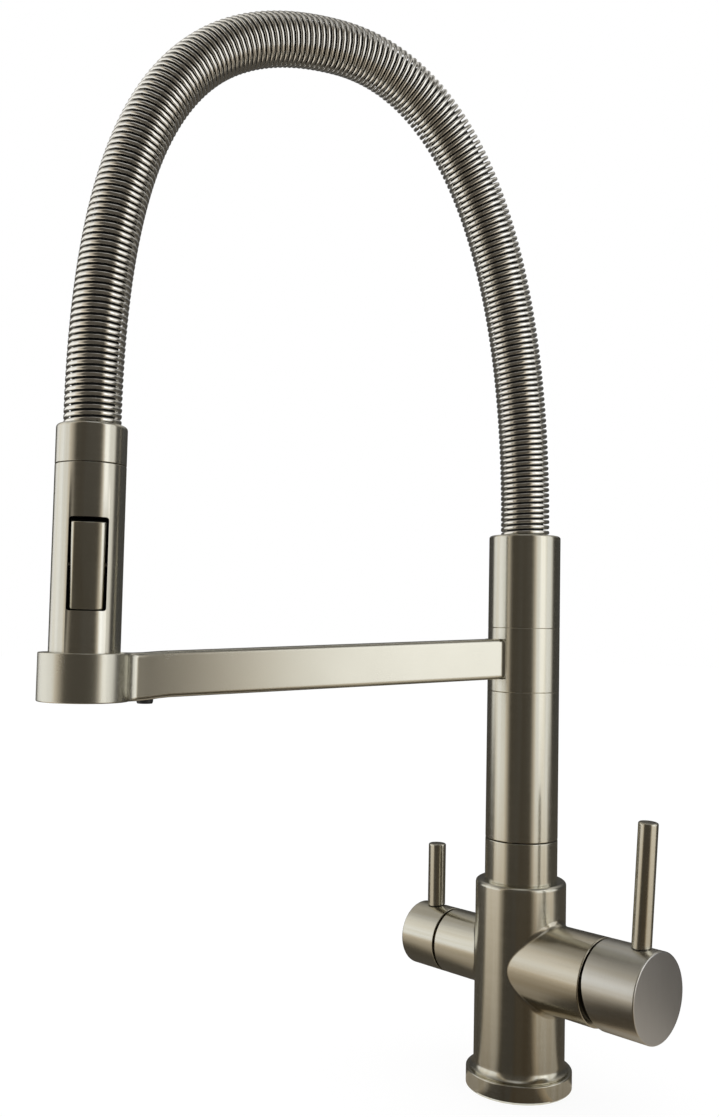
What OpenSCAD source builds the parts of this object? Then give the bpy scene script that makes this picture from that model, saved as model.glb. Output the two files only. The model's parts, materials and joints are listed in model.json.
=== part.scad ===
// Deck-mounted kitchen tap for mixed and filtered drinking water: mixer lever on one side, filter lever on
// the other, a swivelling riser, a spring-guarded hose arch and a pull-down spray head resting in a dock.
// Millimetres. Origin at the centre of the base's underside, +Z up, +X along the mixer handle's axis.

/* [Base] */
// Diameter of the base flange
flange_d = 50.8; // [49:0.1:60]
// Height of the base flange
flange_h = 8.3; // [6:0.1:12]
// Diameter of the valve body
body_d = 43.7; // [42:0.1:46]
// Height of the valve body above the flange
body_h = 89.2; // [84:0.1:110]
// Radius of the body's rounded shoulder
body_edge_r = 1.8; // [0.8:0.1:2.5]
// How far the body's foot flares out
foot_flare = 1.9; // [1:0.1:2.5]
// Radius of the foot's hollow flare
foot_r = 4; // [3:0.1:6]
// Height of the foot's plain rim
foot_rim = 0.9; // [0.5:0.1:1.5]
// Diameter of the inlet manifold in the foot
manifold_d = 34.4; // [34:0.1:36]
// Height of the inlet manifold
manifold_h = 16; // [14:0.1:20]
// Diameter of the fixing stud's thread
stud_d = 8; // [6:1:8]
// Depth of the fixing stud's hole
stud_depth = 12; // [9:0.5:13]
// Diameter of a water inlet's thread
inlet_d = 10; // [8:0.5:10]
// Depth of a water inlet
inlet_depth = 11; // [8:0.5:13]
// Radius of the circle that the inlets lie on
inlet_circle_r = 10.8; // [10.5:0.1:11]
// Radius of the deck seal's middle
seal_mid_r = 21.2; // [20.5:0.1:22]
// Width of the deck seal
seal_w = 2.8; // [2:0.1:3]
// Height of the deck seal
seal_h = 2; // [1.5:0.1:3]

/* [Riser] */
// Diameter of neck, riser, arm collar and upper tube
tube_d = 35; // [33:0.1:37]
// Wall of the riser tubes
tube_wall = 1.5; // [1:0.1:2]
// Height of the neck collar
neck_h = 19.75; // [15:0.05:30]
// Open joint between neck and riser
swivel_gap = 0.5; // [0.3:0.1:0.8]
// Height of the riser tube
riser_h = 71; // [60:0.5:150]
// Height of the arm's collar on the riser
arm_collar_h = 30.9; // [28:0.1:40]
// Height of the upper tube
upper_h = 45.4; // [40:0.1:80]
// Thickness of the upper tube's top
upper_top_t = 3; // [2:0.1:5]
// Radius of the upper tube's rounded edge
upper_edge_r = 1.2; // [0.5:0.1:1.8]
// Edge break at the tube joints
joint_break = 0.3; // [0.2:0.05:0.5]
// Diameter of the swivel spigot
spigot_d = 22; // [20:0.1:24]
// Bore of the swivel spigot
spigot_bore_d = 15; // [12:0.5:16]
// Depth of the spigot in the body
spigot_depth = 12.5; // [10:0.5:14]
// Length of the spigot inside the riser
spigot_rise = 34; // [30:0.5:50]
// Upper swivel seal's distance below the spigot's top
seal_top_gap = 6; // [4:0.5:10]
// Lower swivel seal's height above the riser's foot
seal_low_gap = 8; // [5:0.5:12]
// Thickness of a swivel seal
swivel_seal_t = 2.2; // [1.8:0.1:2.4]
// Overlap of the joining sleeve below and the nipple above the arm's collar
sleeve_reach = 20; // [12:0.5:24]
// Wall of the joining sleeve
sleeve_wall = 2.5; // [1.5:0.1:4]
// Bore of the hose nipple
nipple_bore_d = 7.3; // [6:0.1:9]

/* [Handles] */
// Height of both handle axes above the deck
axis_h = 59.2; // [54:0.1:62]
// Diameter of the mixer branch and cap
mixer_d = 40.2; // [39:0.1:41]
// Reach of the mixer branch from the riser's axis
mixer_branch = 48; // [46:0.1:56]
// Length of the mixer cap from the end of its branch
mixer_cap_l = 28.7; // [27:0.1:34]
// Least gap between mixer cap and branch
mixer_gap = 0.9; // [0.5:0.1:1.2]
// Height above the handle axis where the mixer cap's rear edge starts to slope
mixer_cut_h = 5; // [0:0.1:10]
// Tilt of the mixer handle from shut to full flow
mixer_tilt = 14; // [10:0.5:18]
// Wall of the handle caps
cap_wall = 1.6; // [1.2:0.1:2]
// Edge chamfer of the handle caps
cap_chamfer = 0.6; // [0.3:0.1:1]
// Diameter of the mixer cartridge
cartridge_d = 34.8; // [34:0.1:35]
// Depth of the mixer cartridge behind its nut
cartridge_l = 24; // [20:0.5:26]
// Thickness of the cartridge nut
cartridge_nut_t = 6; // [4:0.5:8]
// Diameter of the dome over the cartridge
dome_d = 34.4; // [33:0.1:34.6]
// Wall of the dome
dome_wall = 1.5; // [1:0.1:2]
// How far the dome starts behind the end of the mixer branch
dome_set = 4; // [3:0.1:6]
// Half angle of the dome's hole beyond the handle's tilt
dome_hole = 38.5; // [30:0.5:42]
// Diameter of the cartridge's turning carrier
carrier_d = 22.2; // [21:0.1:23]
// Depth of the carrier in the cartridge
carrier_depth = 10; // [8:0.5:12]
// How far the carrier stands out past the end of the mixer branch
carrier_out = 4; // [3:0.1:5]
// Diameter of the mixer stem
stem_d = 8; // [7:0.1:9]
// Diameter of the pivot pin
pivot_d = 3; // [2:0.1:4]
// How far each end of the pivot pin stays inside the carrier
pivot_short = 1; // [0.5:0.1:2]
// Depth of the mixer cap's hollow past the end of the branch
mixer_hollow = 14; // [13.5:0.1:14.4]
// Diameter of both levers
lever_d = 9; // [8:0.1:9.4]
// Radius of the levers' rounded tips
lever_tip_r = 0.8; // [0.4:0.1:1.5]
// How far stem and spindle reach past the levers' axes
lever_past = 3.5; // [2:0.1:4]
// Mixer lever's distance from the end of its branch
mixer_lever_x = 19.9; // [19.5:0.1:21]
// Mixer lever's height above the handle axis
mixer_lever_h = 75.6; // [55:0.1:100]
// Mixer lever's foot above the handle axis
mixer_lever_foot = 11; // [10:0.1:12]
// Outward lean of the mixer lever
mixer_lever_lean = 3.3; // [0:0.1:4]
// Diameter of the filter branch and cap
filter_d = 31.6; // [31:0.1:36]
// Reach of the filter branch from the riser's axis
filter_branch = 42.25; // [40:0.05:50]
// Gap between filter cap and branch
filter_gap = 0.9; // [0.5:0.1:1.5]
// Length of the filter cap
filter_cap_l = 21.65; // [20:0.05:28]
// Filter lever's distance from the rear of its cap
filter_lever_x = 12.15; // [11.5:0.05:13]
// Filter lever's height above the handle axis
filter_lever_h = 47.2; // [35:0.1:70]
// Gap between the filter spindle and the filter lever's foot
filter_lever_gap = 1; // [0.5:0.1:2]
// Wall of the filter cap behind its lever
filter_lever_wall = 1.3; // [1:0.1:2]
// Diameter of the filter valve
filter_valve_d = 25.8; // [24:0.1:26]
// Depth of the filter valve behind its nut
filter_valve_l = 22; // [18:0.5:24]
// Thickness of the filter valve's nut
filter_nut_t = 6; // [4:0.5:8]
// How far the filter valve's nut stays inside its branch
filter_nut_set = 2.25; // [1.5:0.05:4]
// Diameter of the filter spindle
spindle_d = 8; // [7:0.1:9]
// Depth of the filter spindle in its valve
spindle_depth = 11; // [8:0.5:14]
// Diameter of the grub screws
grub_d = 4; // [3:0.5:5]
// Length of the grub screws
grub_l = 6; // [4:0.5:8]
// Width of the grub screws' socket across its corners
grub_socket_d = 2; // [1.5:0.1:2.5]
// Depth of the grub screws' socket
grub_socket_depth = 3; // [2:0.1:4]

/* [Arm and dock] */
// Direction of the arm, degrees from the mixer handle's axis
spout_azimuth = -107.8; // [-180:0.1:180]
// Distance from the riser's axis to the spray head's axis
reach = 215.6; // [190:0.1:240]
// Width of the arm
arm_w = 13.5; // [12:0.1:15]
// Height of the arm
arm_bar_h = 19.3; // [17:0.1:20]
// Radius of the arm's long edges
arm_edge_r = 2; // [1:0.1:3]
// Fall of the arm towards the dock, degrees
arm_fall = 2.55; // [0:0.05:4]
// Arm's middle above the foot of its collar, at the riser's axis
arm_mid = 16.5; // [14:0.1:18]
// Fillet between arm and collar
arm_root_r = 2.5; // [1:0.1:4]
// Fillet between arm and dock
dock_fillet_r = 6; // [3:0.1:8]
// Height of the dock ring
dock_h = 19.2; // [17:0.1:24]
// Wall of the dock ring
dock_wall = 1.6; // [1.2:0.1:2.5]
// Edge break of the dock ring
dock_break = 0.4; // [0.2:0.1:0.7]
// Thickness of the dock's liner
liner_t = 2.1; // [1.6:0.1:3]
// How far the liner stays below the dock's rim
liner_drop = 1.8; // [1:0.1:4]
// Lip under the spray head, thickness
liner_lip_t = 1.2; // [0.8:0.1:2]
// Lip under the spray head, inward width
liner_lip_w = 2.4; // [1.5:0.1:3]
// Distance of the filter outlet from the spray head's axis
outlet_back = 25.9; // [23:0.1:60]
// Diameter of the filter outlet
outlet_d = 7; // [6:0.1:8]
// Wall of the filter outlet
outlet_wall = 1; // [0.8:0.1:1.5]
// How far the filter outlet stands out below the arm
outlet_out = 2.4; // [1.5:0.1:5]
// Depth of the filter outlet in the arm
outlet_in = 5; // [4:0.1:6]
// Diameter of the filtered water tube in the arm
filter_tube_d = 6; // [5:0.1:7]

/* [Spray head] */
// Diameter of the spray head
head_d = 29.2; // [28:0.1:31]
// Height of the spray head's shell
head_h = 95.4; // [90:0.1:110]
// Wall of the shell
head_wall = 1.5; // [1.2:0.1:2]
// Thickness of the shell's top
head_top_t = 2; // [1.5:0.1:3]
// Height of the collar above the shell
head_collar_h = 16.5; // [14:0.1:24]
// Radius of the collar's rounded edge
head_edge_r = 1.5; // [0.6:0.1:2]
// Height of the button's window above the shell's foot
window_z = 35.3; // [28:0.1:40]
// Width of the button's window
window_w = 15.8; // [14:0.1:17]
// Height of the button's window
window_h = 37.9; // [34:0.1:40]
// Corner radius of window and button
window_r = 1.2; // [0.6:0.1:2]
// Gap beside the button
button_side_gap = 0.95; // [0.4:0.05:1.2]
// Gap above and below the button when it stands level
button_end_gap = 1.25; // [1.05:0.05:1.6]
// Pivot's distance behind the button's face
button_pivot_depth = 11; // [9:0.1:11.2]
// Tilt of the button each way
button_tilt = 5; // [3:0.1:5]
// Direction the button faces, degrees from the arm's outward direction
button_turn = 78; // [-180:1:180]
// Diameter of the button's pin
button_pin_d = 2; // [1.5:0.1:2.5]
// Wall round the button's pin
button_boss_wall = 2; // [1.5:0.1:2.2]
// Distance from the button's pivot to its back
button_web = 2.4; // [2:0.1:2.8]
// How far each end of the button's pin stays inside the core
pin_short = 2; // [1.5:0.1:3]
// Distance of the button's pocket from the head's axis
pocket_back = 0.2; // [0:0.1:0.4]
// Thickness of the spray face
face_t = 3; // [2:0.1:4]
// Recess of the spray face in the shell
face_recess = 0.4; // [0.2:0.1:1]
// Number of spray nozzles
nozzle_n = 14; // [8:1:16]
// Diameter of a spray nozzle
nozzle_d = 1.8; // [1.2:0.1:2]
// Radius of the nozzle circle
nozzle_circle_r = 8.6; // [8:0.1:9.5]
// How far the nozzles stand out of the spray face
nozzle_out = 0.6; // [0.3:0.1:1]
// Thickness of the plate that carries the nozzles
nozzle_plate_t = 1.5; // [1:0.1:2]
// How far the nozzles' plate stays inside the core's edge
nozzle_plate_in = 1; // [0.5:0.1:1.5]
// Diameter of the aerator
aerator_d = 10; // [8:0.1:12]
// Recess of the aerator in the spray face
aerator_recess = 0.3; // [0.1:0.1:1]
// Diameter of the hose connector
connector_d = 12; // [10:0.1:14]
// Length of the connector in the head
connector_in = 12; // [8:0.5:14]

/* [Hose and spring] */
// Outer diameter of the spring guard
spring_d = 24; // [22:0.1:24.4]
// Diameter of the spring's wire
wire_d = 3.4; // [2.5:0.1:3.8]
// Curls of the spring
spring_curls = 82; // [50:1:84]
// Diameter of the hose
hose_d = 14.6; // [12:0.1:15]
// Height of the arch's crown above the upper tube, at the hose's middle
arch_rise = 223.7; // [190:0.1:260]
// Pull of the arch at the upper tube
riser_pull = 130.7; // [100:0.1:150]
// Pull of the arch at the crown, riser side
crown_pull_riser = 71.2; // [55:0.1:80]
// Pull of the arch at the crown, head side
crown_pull_head = 79.4; // [55:0.1:85]
// Pull of the arch at the spray head
head_pull = 123.7; // [100:0.1:140]
// Depth of the spring's seat in the head collar
collar_seat_depth = 6; // [5:0.1:8]
// Straight length of hose above the head's collar
head_straight = 3; // [2:0.1:6]
// Bend radius of the wire's ends, in wire diameters
wire_bend = 0.8; // [0.7:0.05:1]

/* [Clearances] */
// Radial fit between pieces of one assembly
fit = 0.1; // [0.05:0.01:0.15]
// Running clearance of pins and spindles
running = 0.05; // [0.02:0.01:0.08]
// Play between parts that move past each other
play = 0.3; // [0.25:0.05:0.5]
// Play round the spring where it enters a seat
spring_play = 0.4; // [0.3:0.05:0.6]
// Gap between hose or spring and the seat they start from
seat_gap = 0.05; // [0.02:0.01:0.1]

/* [Hidden] */
$fn = 64;

// Extra length of cutting shapes
over = 1;
// Directions of the filter, hot and cold inlets
inlet_turns = [90, 210, 330];

// Finishes
nickel = [0.66, 0.63, 0.60];
brass = [0.76, 0.62, 0.36];
black = [0.09, 0.09, 0.09];
white = [0.88, 0.88, 0.86];

// Heights of the standing parts
body_r = body_d / 2;
flange_r = flange_d / 2;
tube_r = tube_d / 2;
tube_bore_r = tube_r - tube_wall;
body_top = flange_h + body_h;
neck_top = body_top + neck_h;
riser_z = neck_top + swivel_gap;
collar_z = riser_z + riser_h;
upper_z = collar_z + arm_collar_h;
upper_top = upper_z + upper_h;
insert_r = tube_bore_r - fit;
spigot_r = spigot_d / 2;
spigot_z = body_top - spigot_depth;
spigot_top = riser_z + spigot_rise;
nipple_z = upper_z + sleeve_reach;
nipple_top = upper_top - upper_top_t - wire_d - spring_play;
seal_heights = [spigot_top - seal_top_gap, riser_z + seal_low_gap];
seal_groove_h = swivel_seal_t + 2 * fit;

// Handle geometry
mixer_r = mixer_d / 2;
filter_r = filter_d / 2;
cartridge_r = cartridge_d / 2;
dome_r = dome_d / 2;
dome_x = mixer_branch - dome_set;
dome_hole_half_angle = dome_hole + mixer_tilt;
nut_x = dome_x - cartridge_nut_t;
cartridge_x = nut_x - cartridge_l;
carrier_r = carrier_d / 2;
stem_x = nut_x + running;
stem_end = mixer_branch + mixer_lever_x + lever_past;
stem_swing_r = norm([mixer_branch - stem_x, stem_d / 2]);
slot_x = mixer_branch - stem_swing_r - play;
cap_block_x = mixer_branch + mixer_hollow;
mixer_gap_low = (mixer_gap + mixer_r * sin(mixer_tilt)) / cos(mixer_tilt);
mixer_cut_angle = atan((mixer_gap_low - mixer_gap) / (mixer_r + mixer_cut_h));
mixer_rear = mixer_branch + mixer_gap;
mixer_end = mixer_branch + mixer_cap_l;
filter_valve_r = filter_valve_d / 2;
filter_nut_x = filter_branch - filter_nut_set;
filter_valve_x = filter_nut_x - filter_nut_t;
filter_cap_x = filter_branch + filter_gap;
filter_block_x = filter_cap_x + filter_lever_x - lever_d / 2 - filter_lever_wall;
spindle_x = filter_valve_x - spindle_depth;
spindle_end = filter_cap_x + filter_lever_x + lever_past;
filter_lever_foot = spindle_d / 2 + filter_lever_gap;

// Arm, dock and spray head
arm_z = collar_z + arm_mid;
arm_drop = tan(arm_fall);
head_r = head_d / 2;
liner_bore_r = head_r + play;
dock_bore_r = liner_bore_r + liner_t + fit;
dock_r = dock_bore_r + dock_wall;
dock_z = arm_z - reach * arm_drop - dock_h / 2;
dock_top = dock_z + dock_h;
liner_z = dock_z + fit;
head_z = liner_z + liner_lip_t + play;
head_top = head_z + head_h;
core_r = head_r - head_wall - fit;
face_z = head_z + face_recess;
face_top = face_z + face_t;
core_z = face_top + nozzle_plate_t + fit;
head_collar_z = head_top + play;
head_collar_top = head_collar_z + head_collar_h;
collar_seat_z = head_collar_top - collar_seat_depth;
window_mid = head_z + window_z + window_h / 2;
button_w = window_w - 2 * button_side_gap;
button_h = window_h - 2 * button_end_gap;
button_pivot_x = head_r - button_pivot_depth;
pin_l = 2 * (core_r - pin_short);
outlet_reach = reach - outlet_back;
outlet_face = arm_z - outlet_reach * arm_drop - arm_bar_h / 2 - outlet_out;
outlet_seat = outlet_face + outlet_out + outlet_in;
outlet_way_top = outlet_face + outlet_out + arm_bar_h / 2;
filter_tube_start = tube_bore_r + filter_tube_d / 2 * arm_drop;
filter_tube_end = outlet_reach - outlet_d / 2 - 2 * fit;

// Centre line of hose and spring in the arm's plane: straight ends and two curves that meet at the crown
arch_start = [0, upper_top];
arch_crown = [reach / 2, upper_top + arch_rise];
arch_end = [reach, head_collar_top + head_straight];
rise_curve = [arch_start, arch_start + [0, riser_pull], arch_crown - [crown_pull_riser, 0], arch_crown];
fall_curve = [arch_crown, arch_crown + [crown_pull_head, 0], arch_end + [0, head_pull], arch_end];
curve_steps = 40;

function bezier(p, t) =
  pow(1 - t, 3) * p[0] + 3 * pow(1 - t, 2) * t * p[1] + 3 * (1 - t) * t * t * p[2] + pow(t, 3) * p[3];
function bezier_way(p, t) =
  pow(1 - t, 2) * (p[1] - p[0]) + 2 * (1 - t) * t * (p[2] - p[1]) + t * t * (p[3] - p[2]);
function angle_of(v) = atan2(v[1], v[0]);
function running_length(p) =
  [for (i = 0, l = 0; i < len(p); l = l + (i + 1 < len(p) ? norm(p[i + 1] - p[i]) : 0), i = i + 1) l];

arch_points = concat(
  [[0, nipple_top]],
  [for (i = [0 : curve_steps]) bezier(rise_curve, i / curve_steps)],
  [for (i = [1 : curve_steps]) bezier(fall_curve, i / curve_steps)],
  [[reach, collar_seat_z]]);
arch_angles = concat(
  [90],
  [for (i = [0 : curve_steps]) angle_of(bezier_way(rise_curve, i / curve_steps))],
  [for (i = [1 : curve_steps]) angle_of(bezier_way(fall_curve, i / curve_steps))],
  [-90]);
arch_lengths = running_length(arch_points);
arch_length = arch_lengths[len(arch_lengths) - 1];
reach_table = [for (i = [0 : len(arch_points) - 1]) [arch_lengths[i], arch_points[i][0]]];
height_table = [for (i = [0 : len(arch_points) - 1]) [arch_lengths[i], arch_points[i][1]]];
angle_table = [for (i = [0 : len(arch_points) - 1]) [arch_lengths[i], arch_angles[i]]];

function arch_at(l) = [lookup(l, reach_table), 0, lookup(l, height_table)];
function along(l) = let (a = lookup(l, angle_table)) [cos(a), 0, sin(a)];
function outward(l) = let (a = lookup(l, angle_table)) [-sin(a), 0, cos(a)];
sideways = [0, -1, 0];

// Spring wire: a right-handed helix on the arch, with its ends bent straight into their seats
rings_per_curl = 8;
wire_sides = 6;
wire_r = wire_d / 2;
coil_r = spring_d / 2 - wire_r;
wire_bend_r = wire_d * wire_bend;
wire_tail = wire_d + wire_bend_r;
helix_start = wire_tail + seat_gap;
helix_length = arch_length - 2 * wire_tail - seat_gap - play;
helix_steps = spring_curls * rings_per_curl;
spring_pitch = helix_length / spring_curls;

function unit(v) = v / norm(v);
function helix_l(k) = helix_start + helix_length * k / helix_steps;
function turned(k) = 360 * k / rings_per_curl;
function radial(k) = cos(turned(k)) * outward(helix_l(k)) + sin(turned(k)) * sideways;
function turning(k) = cos(turned(k)) * sideways - sin(turned(k)) * outward(helix_l(k));
function wire_way(k) = unit(2 * PI * coil_r * turning(k) + spring_pitch * along(helix_l(k)));
function wire_at(k) = arch_at(helix_l(k)) + coil_r * radial(k);
function ring_points(c, a, way, r, n) =
  let (b = cross(way, a)) [for (j = [0 : n - 1]) c + r * (cos(360 * j / n) * a + sin(360 * j / n) * b)];

// One end of the wire: bend angles run from 0, along the seat's axis, to 90, along the helix
bend_steps = [0, 30, 60];
function first_bend(b) =
  let (up = along(helix_start), on = turning(0), foot = wire_at(0) - wire_bend_r * (up + on))
  [foot + wire_bend_r * (sin(b) * up + (1 - cos(b)) * on), unit(cos(b) * up + sin(b) * on)];
function last_bend(b) =
  let (up = along(helix_l(helix_steps)), on = turning(helix_steps),
    foot = wire_at(helix_steps) + wire_bend_r * (up + on))
  [foot - wire_bend_r * (sin(b) * up + (1 - cos(b)) * on), unit(cos(b) * up + sin(b) * on)];
first_tail = [first_bend(0)[0] - wire_d * along(helix_start), along(helix_start)];
last_tail = [last_bend(0)[0] + wire_d * along(helix_l(helix_steps)), along(helix_l(helix_steps))];
wire_start = concat([first_tail], [for (b = bend_steps) first_bend(b)]);
wire_end = concat([for (i = [len(bend_steps) - 1 : -1 : 0]) last_bend(bend_steps[i])], [last_tail]);
wire_rings = concat(
  [for (s = wire_start) ring_points(s[0], radial(0), s[1], wire_r, wire_sides)],
  [for (k = [0 : helix_steps]) ring_points(wire_at(k), radial(k), wire_way(k), wire_r, wire_sides)],
  [for (s = wire_end) ring_points(s[0], radial(helix_steps), s[1], wire_r, wire_sides)]);

next_from = rings_per_curl - 3;
next_to = rings_per_curl + 3;
least_curl_gap = min([
  for (k = [0 : helix_steps - next_from])
    for (m = [k + next_from : min(k + next_to, helix_steps)]) norm(wire_at(m) - wire_at(k))]) - wire_d;
echo("least gap between the spring's curls, mm", least_curl_gap);

// Hose: a plain round tube on the same centre line
hose_sides = 10;
hose_ring_gap = 15;
hose_length = arch_length - seat_gap - play;
hose_steps = ceil(hose_length / hose_ring_gap);
hose_r = hose_d / 2;
function hose_l(i) = seat_gap + hose_length * i / hose_steps;
hose_rings = [for (i = [0 : hose_steps])
  ring_points(arch_at(hose_l(i)), outward(hose_l(i)), along(hose_l(i)), hose_r, hose_sides)];

// Shapes that repeat
module spout_place() { rotate([0, 0, spout_azimuth]) children(); }
module head_place() { spout_place() translate([reach, 0, 0]) children(); }
module button_place() { head_place() rotate([0, 0, button_turn]) children(); }
module pivot_place() { button_place() translate([button_pivot_x, 0, window_mid]) children(); }
module mixer_place() { translate([0, 0, axis_h]) rotate([0, 90, 0]) children(); }
module filter_place() { translate([0, 0, axis_h]) rotate([0, -90, 0]) children(); }

module rod(r, z0, z1) { translate([0, 0, z0]) cylinder(r = r, h = z1 - z0); }

module pipe(r, bore, z0, z1) {
  difference() {
    rod(r, z0, z1);
    rod(bore, z0 - over, z1 + over);
  }
}

// Tube with a small edge break outside at both ends
module broken_pipe(r, bore, z0, z1, edge) {
  rotate_extrude() polygon([
    [bore, z0], [r - edge, z0], [r, z0 + edge], [r, z1 - edge], [r - edge, z1], [bore, z1]]);
}

// Half section of a solid of revolution whose upper edge is rounded
module round_shoulder(r, z0, z1, edge) {
  translate([0, z0]) square([r, z1 - z0 - edge]);
  translate([0, z0]) square([r - edge, z1 - z0]);
  translate([r - edge, z1 - edge]) circle(edge);
}

module rounded_box(w, h, r) {
  square([w - 2 * r, h], center = true);
  square([w, h - 2 * r], center = true);
  for (x = [-1, 1], y = [-1, 1]) translate([x * (w / 2 - r), y * (h / 2 - r)]) circle(r);
}

// Triangles of a closed tube through rings of equal count
module swept_tube(rings) {
  n = len(rings[0]);
  last = (len(rings) - 1) * n;
  steps = [for (i = [0 : n : last - n]) for (j = [0 : n - 1]) [i + j, i + (j + 1) % n]];
  polyhedron(
    points = [for (ring = rings) for (p = ring) p],
    faces = concat(
      [for (s = steps) [s[0], s[0] + n, s[1] + n]],
      [for (s = steps) [s[0], s[1] + n, s[1]]],
      [for (j = [1 : n - 2]) [0, j, j + 1]],
      [for (j = [1 : n - 2]) [last, last + j + 1, last + j]]));
}

// Web in plan that fills the corner between a round of radius r and a bar of width w along +X
module corner_web(r, w, fillet) {
  middle = [sqrt(pow(r + fillet, 2) - pow(w / 2 + fillet, 2)), w / 2 + fillet];
  for (side = [0, 1]) mirror([0, side]) difference() {
    polygon([[0, 0], [middle[0], 0], [middle[0], w / 2], middle * r / (r + fillet)]);
    translate(middle) circle(fillet);
  }
}

// Base
module base_flange() {
  color(nickel) difference() {
    broken_pipe(flange_r, manifold_d / 2 + fit, 0, flange_h, joint_break);
    pipe(seal_mid_r + seal_w / 2 + fit, seal_mid_r - seal_w / 2 - fit, -over, seal_h + fit);
  }
}

module base_seal() {
  color(black) pipe(seal_mid_r + seal_w / 2, seal_mid_r - seal_w / 2, 0, seal_h);
}

module inlet_manifold() {
  color(brass) difference() {
    rod(manifold_d / 2, 0, manifold_h);
    rod(stud_d / 2, -over, stud_depth);
    for (a = inlet_turns) rotate([0, 0, a]) translate([inlet_circle_r, 0, 0])
      rod(inlet_d / 2, -over, inlet_depth);
  }
}

module body_section() {
  flare_h = sqrt(pow(foot_r, 2) - pow(foot_r - foot_flare, 2));
  translate([0, flange_h]) square([body_r + foot_flare, foot_rim]);
  difference() {
    translate([0, flange_h + foot_rim]) square([body_r + foot_flare, flare_h]);
    translate([body_r + foot_r, flange_h + foot_rim + flare_h]) circle(foot_r);
  }
  round_shoulder(body_r, flange_h, body_top, body_edge_r);
}

module valve_body() {
  color(nickel) difference() {
    union() {
      rotate_extrude() body_section();
      mixer_place() rod(mixer_r, 0, mixer_branch);
      filter_place() rod(filter_r, 0, filter_branch);
    }
    rod(manifold_d / 2 + fit, flange_h - over, manifold_h + fit);
    rod(spigot_r + fit, spigot_z - fit, body_top + over);
    mixer_place() rod(cartridge_r + fit, cartridge_x - fit, mixer_branch + over);
    filter_place() rod(filter_valve_r + fit, filter_valve_x - filter_valve_l - fit, filter_branch + over);
  }
}

module neck_collar() {
  color(nickel) broken_pipe(tube_r, spigot_r + fit, body_top, neck_top, joint_break);
}

module swivel_spigot() {
  color(brass) difference() {
    pipe(spigot_r, spigot_bore_d / 2, spigot_z, spigot_top);
    for (z = seal_heights) translate([0, 0, z - seal_groove_h / 2])
      pipe(spigot_r + over, spigot_r - swivel_seal_t - fit, 0, seal_groove_h);
  }
}

module swivel_seals() {
  color(black) for (z = seal_heights)
    rotate_extrude() translate([spigot_r - swivel_seal_t / 2 - fit / 2, z]) circle(swivel_seal_t / 2);
}

// Mixer valve
module mixer_cartridge() {
  color(white) mixer_place() difference() {
    rod(cartridge_r, cartridge_x, nut_x);
    rod(carrier_r + running, nut_x - carrier_depth, nut_x + over);
  }
}

module cartridge_nut() {
  color(brass) mixer_place() pipe(cartridge_r, carrier_r + play, nut_x, dome_x);
}

module cartridge_dome() {
  color(nickel) mixer_place() translate([0, 0, mixer_branch]) rotate_extrude() intersection() {
    difference() {
      circle(dome_r);
      circle(dome_r - dome_wall);
    }
    translate([0, -dome_set]) square([dome_r, dome_r * cos(dome_hole_half_angle) + dome_set]);
  }
}

module cartridge_carrier() {
  color(white) mixer_place() difference() {
    rod(carrier_r, nut_x - carrier_depth + play, mixer_branch + carrier_out);
    translate([-carrier_d, -(stem_d + play) / 2, slot_x])
      cube([2 * carrier_d, stem_d + play, mixer_branch + carrier_out]);
    translate([0, 0, mixer_branch]) rotate([90, 0, 0])
      cylinder(r = pivot_d / 2 + running, h = 2 * carrier_d, center = true);
  }
}

module pivot_pin() {
  color(nickel) translate([mixer_branch, 0, axis_h]) rotate([90, 0, 0])
    cylinder(r = pivot_d / 2, h = 2 * (carrier_r - pivot_short), center = true);
}

module mixer_stem() {
  color(brass) mixer_place() difference() {
    rod(stem_d / 2, stem_x, stem_end);
    translate([0, 0, mixer_branch]) rotate([90, 0, 0])
      cylinder(r = pivot_d / 2 + running, h = 2 * stem_d, center = true);
  }
}

module mixer_lever_place() {
  translate([mixer_branch + mixer_lever_x, 0, axis_h + mixer_r]) rotate([0, mixer_lever_lean, 0])
    translate([0, 0, -mixer_r]) children();
}

module mixer_cap() {
  color(nickel) difference() {
    mixer_place() rotate_extrude() polygon([
      [0, mixer_rear], [mixer_r, mixer_rear], [mixer_r, mixer_end - cap_chamfer],
      [mixer_r - cap_chamfer, mixer_end], [0, mixer_end]]);
    mixer_place() rod(mixer_r - cap_wall, mixer_branch - over, cap_block_x);
    mixer_place() rod(stem_d / 2 + fit, cap_block_x - over, stem_end + fit);
    mixer_lever_place() rod(lever_d / 2 + fit, mixer_lever_foot - fit, 2 * mixer_r);
    translate([mixer_branch + mixer_lever_x, 0, axis_h]) rod(grub_d / 2 + fit, -mixer_d, 0);
    translate([mixer_rear, 0, axis_h + mixer_cut_h]) rotate([0, -mixer_cut_angle, 0])
      translate([-mixer_d, -mixer_d, -2 * mixer_d]) cube([mixer_d, 2 * mixer_d, 2 * mixer_d]);
  }
}

// Round lever from its foot to its tip, with a rounded tip
module lever(foot, tip) {
  rotate_extrude() intersection() {
    round_shoulder(lever_d / 2, foot, tip, lever_tip_r);
    translate([0, foot]) square([lever_d, tip - foot]);
  }
}

module mixer_lever() {
  color(nickel) mixer_lever_place() lever(mixer_lever_foot, mixer_lever_h);
}

// Set screw that bears on a spindle of radius r, with its hexagon socket facing down
module grub_screw(x, r) {
  translate([x, 0, axis_h - r - fit - grub_l]) difference() {
    cylinder(r = grub_d / 2, h = grub_l);
    translate([0, 0, -over]) cylinder(d = grub_socket_d, h = grub_socket_depth + over, $fn = 6);
  }
}

module mixer_grub_screw() {
  color(black) grub_screw(mixer_branch + mixer_lever_x, stem_d / 2);
}

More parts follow.
